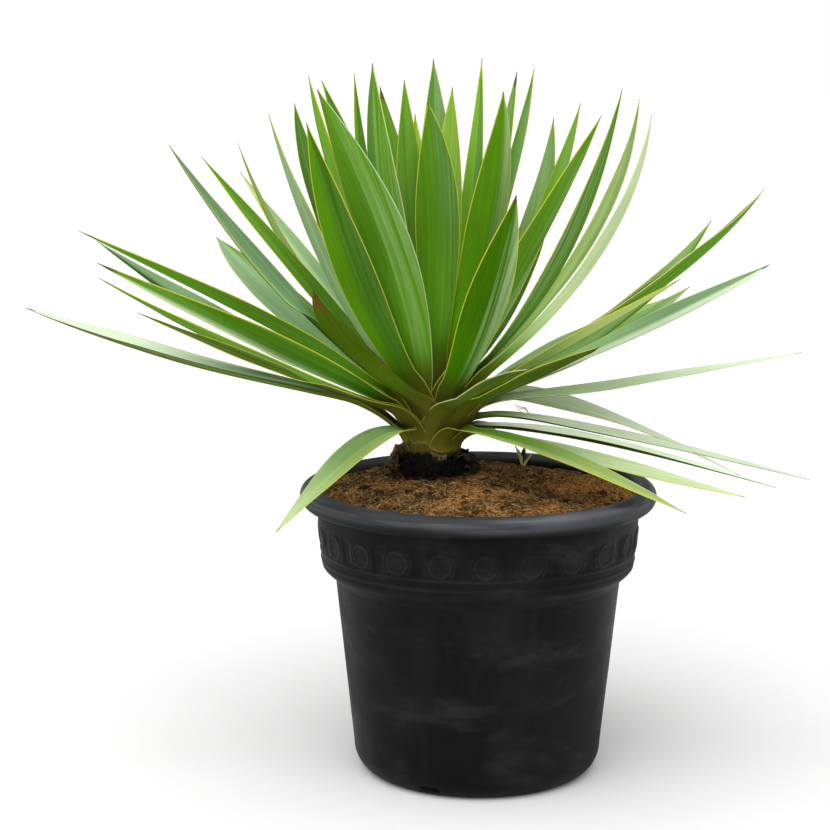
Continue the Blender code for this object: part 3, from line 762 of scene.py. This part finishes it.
def leaf_points(blade, seed):
    """The points of both faces row by row, with what the material reads."""
    across = [-u for u in reversed(LEAF_ACROSS)] + list(LEAF_ACROSS)
    points, info = [], []
    for t, share in leaf_stations():
        held = max(t, 0)
        if share is None:
            centre, along, wrap = blade.centre(t), blade.along(t), 0
        else:
            centre, along = blade.sheath(share)
            wrap = 1 - fade(share, *WRAP_ENDS)
        side, upper = blade.turned(along, held)
        half = blade.width / 2 * blade_share(held, blade.taper)
        half = max(half, blade.clasp * (1 - fade(t, *CLASP_ENDS)))
        half = max(half * (1 + SHEATH_FLARE * wrap), LEAST_HALF)
        clasp = 1 - fade(t, *LIFT_ENDS)
        fold = blade.fold + (CLASP_LIFT - blade.fold) * clasp
        fold *= 1 - TIP_UNFOLD * fade(t, *UNFOLDS)
        wave = WAVE_HEIGHT * noise.noise(Vector((t * WAVE_PACE, seed * WAVES_APART, 0)))
        rib = RIB_THICK * (1 - RIB_THINNING * held)
        reach = hypot(centre.x - STEM_X, centre.y)
        for face in (1, -1):
            for u in across:
                edge_wave = wave * u * abs(u) * fade(t, *WAVE_STARTS) * (1 - fade(t, *WAVE_ENDS))
                thick = EDGE_THICK + (rib - EDGE_THICK) * (1 - abs(u)) ** RIB_CURVE
                thick *= 1 - TIP_THINNING * fade(t, *TIP_THINS)
                lift = fold * half * abs(u) ** FOLD_CURVE + edge_wave + face * thick / 2
                point = centre + side * half * u + upper * lift
                if wrap:
                    turn = blade.sheath_turn + u * half / max(reach, SHEATH_LEAST)
                    ring = reach - face * thick * 0.3 + 0.6 * (1 - u * u)
                    x, y = STEM_X + ring * cos(turn), ring * sin(turn)
                    round_stem = Vector((x, y, centre.z))
                    round_stem.z += SHEATH_HORN * u * u * (1 - share)
                    point = point.lerp(round_stem, wrap)
                points.append(point)
                info.append((t, u, half, face))
    return points, info


def leaf_faces():
    columns = 2 * len(LEAF_ACROSS)
    loop = 2 * columns
    ring = list(range(columns)) + list(range(2 * columns - 1, columns - 1, -1))
    faces = []
    for row in range(SHEATH_ROWS + LEAF_ROWS):
        for k in range(loop):
            a = row * loop + ring[k]
            b = row * loop + ring[(k + 1) % loop]
            faces.append((a, b, b + loop, a + loop))
    last = (SHEATH_ROWS + LEAF_ROWS) * loop
    for start in (0, last):
        for k in range(columns - 1):
            a = start + k
            faces.append((a, a + 1, a + columns + 1, a + columns))
    return faces


def browned(colour, t, start):
    """A colour that turns into the dead tip's brown."""
    return mix(colour, linear("tip"), fade(t, start, 0.5 + start / 2))


def leaf_tint(t, u, face, pairs, inner=None, brown=BROWN_FROM, split=0):
    """The blade's colour before its veins, from the clasping base to the tip."""
    across = fade(u, split - SPLIT_HALF, split + SPLIT_HALF)
    colour = mix(*pairs[face < 0], across)
    if inner:
        colour = mix(mix(*inner[face < 0], across), colour, fade(t, *inner[2:]))
    # Painted light: the inner part of the blade, in the crown's shade, is painted lighter
    light = 1 + INNER_PAINTED_FILL * (1 - fade(t, *INNER_PAINTED_FILL_ENDS))
    colour = tuple(min(1, c * light) for c in colour)
    if face > 0:
        keel = KEEL_SHARE * (1 - fade(abs(u), 0, KEEL_HALF))
        colour = mix(colour, tuple(min(1, c * KEEL_LIGHT) for c in colour), keel)
    colour = mix(linear("base"), colour, fade(t, *BASE_TINT_ENDS))
    colour = mix(linear("sheath"), colour, fade(t, *SHEATH_TINT_STARTS))
    return browned(colour, t, brown)


def colour_pair(words):
    words = words.split()
    return linear(words[0]), linear(words[-1])


def blade_data(label, row, seat, colours, seed):
    """One blade's points and, for each, what its material reads."""
    blade = Blade(row, seat, seed)
    blade.twist = TWISTS.get(label, blade.twist)
    blade.hump = HUMPS.get(label, blade.hump)
    blade.taper = TAPERS.get(label, TIP_TAPER)
    blade.clasp = CLASPS.get(label, CLASP_HALF)
    if label in CLASPED:
        blade.clasp_at(*CLASPED[label])
    points, info = leaf_points(blade, seed)
    pairs = [colour_pair(words) for words in colours]
    inner = INNERS.get(label)
    if inner:
        inner = (colour_pair(inner[0]), colour_pair(inner[1]), *inner[2:])
    margins = colour_pair(EDGES.get(label, PLAIN_EDGE))
    bloom_sheen_streaks = BLOOM_SHEEN_STREAKS.get(label, PLAIN_BLOOM_SHEEN)
    brown = BROWNED.get(label, BROWN_FROM)
    split = SPLITS.get(label, 0)
    base_margin = mix(linear("base"), linear("gold"), BASE_GOLD)
    looks = []
    for t, u, half, face in info:
        tint = leaf_tint(t, u, face, pairs, inner, brown, split)
        margin = mix(base_margin, margins[u > 0], fade(t, *MARGIN_STARTS))
        across = u * half + (BACK_APART if face < 0 else 0)
        grain = (across, t * blade.length, seed * BLADES_APART)
        # Pale streaks, partly bloom and partly painted sheen
        bloom = bloom_sheen_streaks[u > 0] * fade(t, *BLOOM_SHEEN_STARTS) * (1 - fade(t, *BLOOM_SHEEN_ENDS))
        looks.append((tint, browned(margin, t, brown), grain, half * (1 - abs(u)), bloom))
    return points, looks


def make_blades(name, blades, material):
    """One object from the data of one or more blades."""
    points, faces, looks = [], [], []
    for blade_points, blade_looks in blades:
        start = len(points)
        faces.extend(tuple(start + k for k in face) for face in leaf_faces())
        points.extend(blade_points)
        looks.extend(blade_looks)
    thing = mesh_object(name, points, faces, material)
    turn_outwards(thing)
    tint, edge, grain, rim, bloom = zip(*looks)
    paint(thing, "tint", tint)
    paint(thing, "edge", edge)
    store(thing, "grain", "FLOAT_VECTOR", grain)
    store(thing, "rim", "FLOAT", rim)
    store(thing, "bloom", "FLOAT", bloom)
    return thing


def stand_for(thing, node):
    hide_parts(node)
    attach(thing, "root")


def make_threads(start):
    """Dry threads that have come loose from a blade's margin."""
    rng = random.Random(SEEDS["threads"])
    threads = Shapes()
    for _ in range(THREAD_COUNT):
        heading = Vector((-1, rng.uniform(-0.4, 0.4), rng.uniform(0.1, 0.9))).normalized()
        length = rng.uniform(8, 22)
        curl = rng.uniform(-5, 5)
        path = []
        for share in shares(THREAD_POINTS):
            droop = Vector((0, 0, curl * sin(pi * share)))
            path.append(start + heading * length * share + droop)
        threads.strand(path, rng.uniform(0.3, 0.5), linear("straw"))
    threads = threads.build("frayed_threads", bark_material("frayed_thread", 900, 0.0003))
    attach(threads, "root")


def make_leaves(material):
    for number, (leaf, seat) in enumerate(zip(LEAVES, spread_seats()), 1):
        label, row, *colours = leaf
        node = f"leaf_{number:02d}"
        data = blade_data(label, row, seat, colours, number)
        stand_for(make_blades(f"{node}_blade", [data], material), node)
        if label == FRAYED:
            make_threads(data[0][FRAYED_POINT])


def make_heart(material):
    blades = []
    for seed, (label, row, *colours) in enumerate(HEART_BLADES, HEART_SEED):
        seat = (radians(row[0]), radians(HEART_RISE))
        blades.append(blade_data(label, row, seat, colours, seed))
    stand_for(make_blades("heart_blades", blades, material), "heart")


def swell(off, soft):
    """A rounded ridge's height at a distance from its middle."""
    return exp(-((off / soft) ** 2))


def relief(angle, z):
    """How far the band's moulded pattern stands proud at an angle and a height."""
    step = 2 * pi / RING_COUNT
    first = radians(RING_FIRST)
    off = remainder(angle - first, step)
    across = off * BAND_RADIUS
    up = z - RING_Z
    far = hypot(across, up)
    proud = RING_PROUD * swell(far - RING_RADIUS, RING_SOFT)
    proud += DISH_PROUD * (1 - fade(far, RING_RADIUS - 3, RING_RADIUS - 1))
    steep = abs(atan2(up, abs(across)))
    bracket = swell(far - BRACKET_RADIUS, BRACKET_SOFT) * (1 - fade(steep, *BRACKET_ENDS))
    proud += BRACKET_PROUD * bracket
    near, away = HOLLOW_HALF
    hollow = fade(abs(off) / (step / 2), *HOLLOW_SIDE) * fade(z, RING_Z - away, RING_Z - near)
    proud -= HOLLOW_DEEP * hollow * (1 - fade(z, RING_Z + near, RING_Z + away))
    for rib_z in BAND_RIBS:
        proud += RIB_PROUD * swell(z - rib_z, RIB_SOFT)
    return proud


def slot_depth(angle, z):
    """How deep the drain slots in the foot are at an angle and a height."""
    off = remainder(angle - radians(SLOT_FIRST), 2 * pi / SLOT_COUNT)
    depth = SLOT_DEEP
    for away, size in ((off * BODY_RADIUS_LOW, SLOT_WIDTH), (z - SLOT_Z, SLOT_HEIGHT)):
        depth *= 1 - fade(abs(away), size / 2 - SLOT_SOFT, size / 2 + SLOT_SOFT)
    return depth


def pot_rows():
    """The pot's profile as (radius, z, kind), from its underside round the lip to its floor."""
    rows = [(FOOT_RADIUS * share, z, "under") for share, z in UNDER_ROWS]
    for k in range(1, FOOT_ROWS + 1):
        angle = radians(90 * k / FOOT_ROWS)
        radius = FOOT_RADIUS + (BODY_RADIUS_LOW - FOOT_RADIUS) * sin(angle)
        rows.append((radius, BODY_Z_LOW * (1 - cos(angle)), "foot"))
    corners = (
        (BODY_RADIUS_LOW, BODY_Z_LOW),
        (BODY_RADIUS_HIGH, BODY_Z_HIGH),
        (BAND_RADIUS_LOW, BAND_Z_LOW),
        (BAND_RADIUS_HIGH, POT_HEIGHT - 2 * LIP_ROLL),
    )
    runs = ((BODY_ROWS, "body"), (FLARE_ROWS, "flare"), (BAND_ROWS, "band"))
    for low, high, (count, kind) in zip(corners, corners[1:], runs):
        for k in range(1, count + 1):
            radius, z = mix(low, high, k / count)
            if kind == "flare":
                radius = low[0] + (high[0] - low[0]) * smooth(k / count)
            rows.append((radius, z, kind))
    for k in range(LIP_ROWS + 1):
        angle = radians(LIP_START + LIP_TURN * k / LIP_ROWS)
        radius = LIP_RADIUS - LIP_ROLL + LIP_ROLL * cos(angle)
        rows.append((radius, POT_HEIGHT - LIP_ROLL + LIP_ROLL * sin(angle), "lip"))
    rows += [
        (BAND_RADIUS_HIGH - WALL, POT_HEIGHT - LIP_ROLL, "inside"),
        (BAND_RADIUS_LOW - WALL + 1.5, BAND_Z_LOW + 20, "inside"),
        (BODY_RADIUS_HIGH - WALL, BODY_Z_HIGH, "inside"),
        (BODY_RADIUS_LOW - WALL, BODY_Z_LOW, "inside"),
        (FOOT_RADIUS * 0.2, FLOOR_Z, "inside"),
    ]
    return rows


def pot_material():
    """Matte charcoal plastic with dusty smudges and run-down streaks; the band's relief is paler,
    partly wear and partly painted highlight, and the lip's top has a painted sheen.
    """
    n = Nodes("charcoal_plastic")
    place = n.place()
    wear_and_sheen = n.attribute("wear_and_sheen", "Fac")
    cloud = n.noise(n.scaled(place, (11, 11, 8)), 1, 4, 0.6)
    streak = n.noise(n.scaled(place, (38, 38, 4)), 1, 3, 0.6)
    smudge = n.noise(n.scaled(place, (9, 9, 22)), 1, 4, 0.65)
    sheen = n.noise(n.scaled(place, (5, 5, 90)), 1, 3, 0.6)
    fine = n.noise(place, 900, 2, 0.6)
    colour = n.blend(n.ramp(cloud, 0.42, 0.66), grey(0.002), (0.0072, 0.0072, 0.0069, 1))
    colour = n.blend(n.ramp(streak, 0.5, 0.75, 0, 0.3), colour, (0.0125, 0.0123, 0.0117, 1))
    colour = n.blend(n.ramp(smudge, 0.5, 0.74, 0, 0.75), colour, (0.021, 0.021, 0.0203, 1))
    # Painted sheen: paler and bluish along the lip's top as a highlight; on the band's relief,
    # partly wear and partly painted highlight
    wear_and_sheen = n.maths("MULTIPLY", wear_and_sheen, n.ramp(sheen, 0.4, 0.62, 0.3, 1))
    colour = n.blend(wear_and_sheen, colour, (0.135, 0.143, 0.158, 1))
    n.surface(colour, n.ramp(cloud, 0.35, 0.7, 0.46, 0.66), 0.09)
    height = n.maths("ADD", n.maths("MULTIPLY", fine, 0.4), n.maths("MULTIPLY", streak, 0.6))
    n.bump(height, 0.0003, 0.35)
    return n.material


def make_pot():
    rows = pot_rows()
    shapes = Shapes()
    wear_and_sheen = []
    for radius, z, kind in rows:
        for angle in around(POT_COLUMNS):
            off, worn_and_lit = 0, 0
            if kind == "band":
                off = relief(angle, z)
                worn_and_lit = BAND_WEAR_AND_HIGHLIGHT * max(0, off)
            elif kind == "foot":
                off = -slot_depth(angle, z)
                worn_and_lit = SLOT_WEAR * off
            # painted highlight along the top of the lip's roll
            elif kind == "lip":
                for share, low, high in LIP_PAINTED_SHEEN:
                    worn_and_lit += share * fade(z, POT_HEIGHT - low, POT_HEIGHT - high)
            if kind in ("body", "flare", "lip"):
                off = POT_LUMP * noise.noise(Vector((angle * 4, z / 40, 3)))
            size = radius + off
            shapes.points.append((size * cos(angle), size * sin(angle), z))
            wear_and_sheen.append(worn_and_lit)
    shapes.join_rings(range(len(rows)), POT_COLUMNS)
    pot = mesh_object("pot_moulding", shapes.points, shapes.faces, pot_material())
    store(pot, "wear_and_sheen", "FLOAT", wear_and_sheen)
    stand_for(pot, "pot")


def soil_point(inward, angle):
    """A point of the mix's surface: inward is 0 at the wall and 1 at the stem."""
    behind = max(0, sin(angle))
    edge = SOIL_EDGE_Z - SOIL_SINK * behind**0.5
    wall_radius = BAND_RADIUS_HIGH - WALL - SOIL_PLAY - (POT_HEIGHT - LIP_ROLL - edge) * WALL_LEAN
    radius = wall_radius + (STEM_HOLE_RADIUS - wall_radius) * inward
    x = STEM_X * inward + radius * cos(angle)
    y = radius * sin(angle)
    z = edge + (SOIL_TOP_Z - edge) * sin(inward * pi / 2)
    flat = Vector((x, y, 0))
    z += 5 * noise.noise(flat / 28) * (1 - inward)
    z += 2.2 * noise.noise(flat / 11 + Vector((5, 0, 0))) + 1.1 * noise.noise(flat / 4)
    return Vector((x, y, z))


def soil_shade(point, rng):
    """The mix's colour at a point: dark damp hollows, brown coir and dry orange patches, with a
    pool of painted light at the right and darker round the stem's foot.
    """
    flat = Vector((point.x, point.y, 0))
    broad = noise.noise(flat / 34 + Vector((9, 2, 0)))
    small = noise.noise(flat / 9)
    dry = 0.55 + 0.9 * broad + 0.7 * small + rng.uniform(-0.3, 0.3)
    # Painted light: a paler, more orange pool at the right
    dry += 0.75 * (1 - fade(hypot(point.x - LIT_PATCH_X, point.y - LIT_PATCH_Y), *LIT_PATCH_FADES))
    colour = mix(COIR[0], COIR[1], fade(dry, 0, 0.5))
    colour = mix(colour, COIR[2], fade(dry, 0.5, 1))
    # Darker round the stem's foot
    near = hypot(point.x - STEM_X - DARK_FOOT_X, point.y - DARK_FOOT_Y)
    return mix(COIR[0], colour, 0.25 + 0.75 * fade(near, *DARK_FOOT_FADES))


def soil_material(name, grain):
    n = Nodes(name)
    speck = n.noise(n.place(), grain, 4, 0.7)
    colour = n.blend(n.ramp(speck, 0.38, 0.62), (0.26, 0.24, 0.21, 1), (1.6, 1.55, 1.42, 1))
    colour = n.blend(1.0, n.attribute("tint", "Color"), colour, "MULTIPLY")
    n.surface(colour, n.ramp(speck, 0.3, 0.7, 0.98, 0.8), 0.15)
    n.bump(speck, 0.0015, 0.8)
    return n.material


def make_soil():
    rng = random.Random(SEEDS["soil"])
    soil = Shapes()
    count = SOIL_ROWS + 1
    for inward in shares(count):
        for angle in around(SOIL_COLUMNS):
            point = soil_point(inward, angle)
            soil.points.append(point)
            soil.tints.append(soil_shade(point, rng))
    for outer, z in ((BODY_RADIUS_HIGH, BODY_Z_HIGH), (BODY_RADIUS_LOW, SOIL_BASE_Z)):
        for angle in around(SOIL_COLUMNS):
            radius = outer - WALL - SOIL_PLAY
            soil.points.append((radius * cos(angle), radius * sin(angle), z))
            soil.tints.append(COIR[0])
    soil.join_rings([count + 1, count, *range(count)], SOIL_COLUMNS)
    stand_for(soil.build("coir_mix", soil_material("coir_mix", 520)), "soil")


def make_fibres():
    """Loose coir strands that lie on the mix and curl a little off it."""
    rng = random.Random(SEEDS["fibres"])
    fibres = Shapes()
    for _ in range(FIBRE_COUNT):
        inward = 1 - sqrt(rng.uniform(0.02, 1))
        angle = rng.uniform(0, 2 * pi)
        heading = rng.uniform(0, 2 * pi)
        length = rng.uniform(5, 20)
        curl = rng.uniform(-1.6, 1.6)
        rise = rng.uniform(0.2, 2.2)
        path = []
        for share in shares(FIBRE_POINTS):
            turn = heading + curl * share
            step = length * (share - 0.5)
            shift_in = step * cos(turn) / SOIL_RUN
            shift_round = step * sin(turn) / (SOIL_WALL_REACH - SOIL_STEM_LESS * inward)
            place = soil_point(min(0.97, max(0.012, inward + shift_in)), angle + shift_round)
            place.z += rise * sin(pi * share) + 0.3
            path.append(place)
        radius = rng.uniform(0.18, 0.42)
        shade = soil_shade(path[1], rng)
        fibres.strand(path, radius, mix(shade, COIR[3], rng.choice((0.1, 0.25, 0.45, 0.8))))
    fibres = fibres.build("coir_fibres", soil_material("coir_fibre", 300))
    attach(fibres, "root")


def make_crumbs():
    """Bits of bark, lumps of damp coir and a few pale chips on the mix."""
    rng = random.Random(SEEDS["crumbs"])
    crumbs = Shapes()
    for number in range(CRUMB_COUNT):
        inward = 1 - sqrt(rng.uniform(0.03, 1))
        angle = rng.uniform(0, 2 * pi)
        centre = soil_point(min(0.94, max(0.03, inward)), angle)
        size = rng.uniform(0.8, 3.6) * (1 if rng.random() < SMALL_CRUMBS else 1.6)
        pale = rng.random() < PALE_CRUMBS
        if pale:
            size *= 0.55
        lump = bmesh.new()
        bmesh.ops.create_icosphere(lump, subdivisions=2, radius=1)
        stretch = (rng.uniform(0.7, 1.6), rng.uniform(0.7, 1.3), rng.uniform(0.5, 0.9))
        first = len(crumbs.points)
        for vertex in lump.verts:
            rough = 1 + 0.45 * noise.noise(vertex.co * 1.7 + Vector((number, 0, 0)))
            local = Vector(vertex.co[k] * stretch[k] * rough * size for k in range(3))
            crumbs.points.append(centre + local)
        for face in lump.faces:
            crumbs.faces.append(tuple(first + vertex.index for vertex in face.verts))
        shade = COIR[3] if pale else mix(COIR[0], COIR[1], rng.uniform(0, 0.9))
        crumbs.tints.extend([shade] * len(lump.verts))
        lump.free()
    crumbs = crumbs.build("coir_crumbs", soil_material("coir_crumb", 400))
    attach(crumbs, "root")


def bark_material(name, grain, bumpy):
    n = Nodes(name)
    fibre = n.noise(n.scaled(n.place(), (grain, grain, grain * 0.12)), 1, 4, 0.7)
    colour = n.blend(n.ramp(fibre, 0.3, 0.7), (0.5, 0.48, 0.42, 1), (1.4, 1.38, 1.3, 1))
    colour = n.blend(1.0, n.attribute("tint", "Color"), colour, "MULTIPLY")
    n.surface(colour, n.ramp(fibre, 0.3, 0.7, 0.7, 0.9), 0.25)
    n.bump(fibre, bumpy, 0.8)
    return n.material


def core_radius(z):
    """The core that the sheaths hide, a slimmer dome than the solid's."""
    above = max(0, z - CROWN_Z) / CORE_HEIGHT
    return INNER_RADIUS * sqrt(max(0, 1 - above**2))


def stub(number, rng):
    """One stub of an old base, as a function that places its points."""
    middle = radians(GOLDEN_ANGLE * number)
    low = STUB_LOW + 1.2 * number + rng.uniform(-1.5, 1.5)
    tall = rng.uniform(13, 20)
    half_turn = rng.uniform(0.4, 0.65)
    fresh = rng.random()

    def place(up, u):
        out = outward(middle + u * half_turn * (1 - 0.3 * up**2))
        torn = 4 * noise.noise(Vector((u * 2.5, number * 3.1, 1))) * up
        z = low + tall * up - 6 * u * u * up + torn
        radius = SHEATH_RADIUS - STANDS_IN + 2.2 * up * up + 1.2 * (1 - u * u)
        shade = mix(BARK[1], linear("sheath"), fade(up, 0.1, 0.5) * (0.35 + 0.65 * fresh))
        shade = mix(shade, BARK[2], 0.5 * fade(up, 0.85, 1))
        return Vector((STEM_X, 0, z)) + out * radius, out, shade

    return place


def make_stem():
    """The core, with short stubs of old bases low on it."""
    stem = Shapes()
    tall = CROWN_Z + CORE_HEIGHT - 1 - STEM_FOOT_Z
    for row in range(STEM_ROWS + 1):
        z = STEM_FOOT_Z + tall * row / STEM_ROWS
        for angle in around(STEM_COLUMNS):
            radius = core_radius(z) - 0.5 + 0.5 * sin(9 * angle + z / 5)
            stem.points.append((STEM_X + radius * cos(angle), radius * sin(angle), z))
            stem.tints.append(mix(BARK[0], linear("olive"), fade(z, *STEM_GREENS)))
    stem.join_rings(range(STEM_ROWS + 1), STEM_COLUMNS)
    rng = random.Random(SEEDS["stem"])
    for number in range(STUB_COUNT):
        stem.sheet(*STUB_GRID, stub(number, rng))
    stem = stem.build("stem_and_stubs", bark_material("leaf_base", 900, 0.0006))
    turn_outwards(stem)
    stand_for(stem, "stem")


def flake(number, rng):
    """One black flake of a torn base. The first ones have fallen outwards."""
    middle = rng.uniform(0, 2 * pi)
    low = SOIL_TOP_Z - 5 + rng.uniform(0, 13)
    tall = rng.uniform(7, 19)
    half_turn = rng.uniform(0.06, 0.26)
    lean = rng.uniform(0.5, 8.0)
    depth = rng.uniform(-1.0, 5.0)
    twist = rng.uniform(-0.25, 0.25)
    if number < FALLEN_COUNT:
        middle = radians(rng.uniform(FALLEN_FROM, FALLEN_TO))
        low = SOIL_TOP_Z - 6
        tall = rng.uniform(4, 9)
        lean = rng.uniform(4, 11)
        depth = rng.uniform(4, 13)

    def place(up, u):
        out = outward(middle + u * half_turn * (1 - 0.45 * up) + twist * up)
        ragged = tall * 0.9 * noise.noise(Vector((u * 4 + number, 2, 4)))
        z = low + tall * up + ragged * up * up - 3 * u * u * up
        crumple = 2.4 * noise.noise(Vector((u * 3, up * 4, number * 1.7)))
        radius = SHEATH_RADIUS - STANDS_IN + depth + lean * up * up + crumple
        light = 0.35 + 0.6 * noise.noise(Vector((u * 2, up * 3, number)))
        shade = mix(BARK[0], BARK[1], min(1, max(0, light)))
        return Vector((STEM_X, 0, z)) + out * radius, out, shade

    return place


def flap(azimuth, z, size, tall, dry):
    """One flap that stands off the collar on its edge."""

    def place(up, u):
        out = outward(radians(azimuth) + 0.22 * sin(up * 4 + azimuth) + 0.1 * u)
        torn = noise.noise(Vector((u * 2.6, up * 3.4, azimuth)))
        longer = 1 + 0.35 * noise.noise(Vector((u * 3, 1, azimuth)))
        reach = SHEATH_RADIUS - 4 + size * up * longer
        rise = z + u * tall * (1 - 0.45 * up) + 5 * torn - 0.3 * size * up * up
        along = Vector((-out.y, out.x, 0))
        shade = mix(BARK[0], BARK[2], dry * fade(up + torn * 0.5 + 0.2 * u, 0, 0.6))
        return Vector((STEM_X, 0, rise)) + out * reach + along * 3 * torn, along, shade

    return place


def patch(azimuth, z, wide, tall):
    """One dry patch that lies against the collar."""

    def place(up, u):
        v = 2 * up - 1
        torn = noise.noise(Vector((u * 2, v * 2, azimuth)))
        out = outward(radians(azimuth) + u * (1 + 0.4 * torn) * wide / SHEATH_RADIUS)
        foot = Vector((STEM_X, 0, z + v * tall + 2 * torn))
        shade = mix(BARK[1], BARK[2], 0.25 + 0.6 * torn)
        return foot + out * (SHEATH_RADIUS + 3.5 + 2 * torn), out, shade

    return place


def make_collar():
    """The black, torn bases of leaves long gone, with a few papery brown scraps."""
    rng = random.Random(SEEDS["collar"])
    collar = Shapes()
    for number in range(FLAKE_COUNT):
        collar.sheet(*FLAKE_GRID, flake(number, rng))
    for row in FLAPS:
        collar.sheet(*FLAP_GRID, flap(*row))
    for row in PATCHES:
        collar.sheet(*PATCH_GRID, patch(*row))
    collar = collar.build("torn_bases", bark_material("torn_base", 1300, 0.001))
    stand_for(collar, "old_leaf_bases")


def make_shoot(material):
    """The side shoot: one dry brown blade, one dark green and one pale."""
    blades = []
    for seed, (azimuth, out, z, width, *colours) in enumerate(SHOOT_BLADES, SHOOT_SEED):
        turn = radians(azimuth)
        blade = Blade((azimuth, 0, 0, width, 0, 0.5, 0, 0, 0.5), (0, 0))
        blade.root = Vector((SHOOT_X, SHOOT_Y, SHOOT_ROOT_Z))
        blade.tip = Vector((SHOOT_X + out * cos(turn), SHOOT_Y + out * sin(turn), z))
        blade.bend = blade.root.lerp(blade.tip, 0.4) + Vector((0, 0, 3))
        blade.length = (blade.tip - blade.root).length
        blade.sheath_foot = blade.root.copy()
        blade.clasp = SHOOT_CLASP_HALF
        points, info = leaf_points(blade, seed)
        pairs = [colour_pair(words) for words in colours]
        looks = []
        for t, u, half, face in info:
            shade = leaf_tint(t, u, face, pairs)
            grain = (u * half, t * blade.length, seed)
            looks.append((shade, shade, grain, half * (1 - abs(u)), 0))
        blades.append((points, looks))
    stand_for(make_blades("shoot_blades", blades, material), "side_shoot")


def make_camera():
    data = bpy.data.cameras.new("camera")
    data.lens = CAMERA_LENS
    data.sensor_width = CAMERA_SENSOR
    camera = add_object("camera", data)
    camera.location = CAMERA_AT
    camera.rotation_euler = (radians(90 - CAMERA_DOWN), 0, 0)
    bpy.context.scene.camera = camera


def make_soft_sun(name, toward, spread, strength):
    data = bpy.data.lights.new(name, "SUN")
    data.angle = radians(spread)
    data.energy = strength
    light = add_object(name, data)
    light.rotation_euler = Vector(toward).to_track_quat("-Z", "Y").to_euler()


def make_studio():
    world = bpy.data.worlds.new("studio")
    world.use_nodes = True
    tree = world.node_tree
    room = tree.nodes["Background"]
    room.inputs[0].default_value = grey(1)
    room.inputs[1].default_value = ROOM_LIGHT
    backdrop = tree.nodes.new("ShaderNodeBackground")
    backdrop.inputs[0].default_value = grey(1)
    choose = tree.nodes.new("ShaderNodeMixShader")
    path = tree.nodes.new("ShaderNodeLightPath")
    tree.links.new(path.outputs["Is Camera Ray"], choose.inputs[0])
    tree.links.new(room.outputs[0], choose.inputs[1])
    tree.links.new(backdrop.outputs[0], choose.inputs[2])
    tree.links.new(choose.outputs[0], tree.nodes["World Output"].inputs[0])
    bpy.context.scene.world = world
    for sun in SUNS:
        make_soft_sun(*sun)
    n = Nodes("pale_floor")
    cloud = n.noise(n.place(), 3, 2)
    n.surface(n.blend(cloud, grey(0.9), grey(0.93)), 0.9, 0.1)
    corners = [(x * FLOOR_HALF, y * FLOOR_HALF, 0) for x, y in FLOOR_CORNERS]
    floor = mesh_object("floor", corners, [(0, 1, 2, 3)], n.material, False)


bpy.context.scene.view_settings.view_transform = "Standard"
make_camera()
make_studio()
waxy = leaf_material()
make_leaves(waxy)
make_heart(waxy)
make_pot()
make_soil()
make_fibres()
make_crumbs()
make_stem()
make_collar()
make_shoot(waxy)
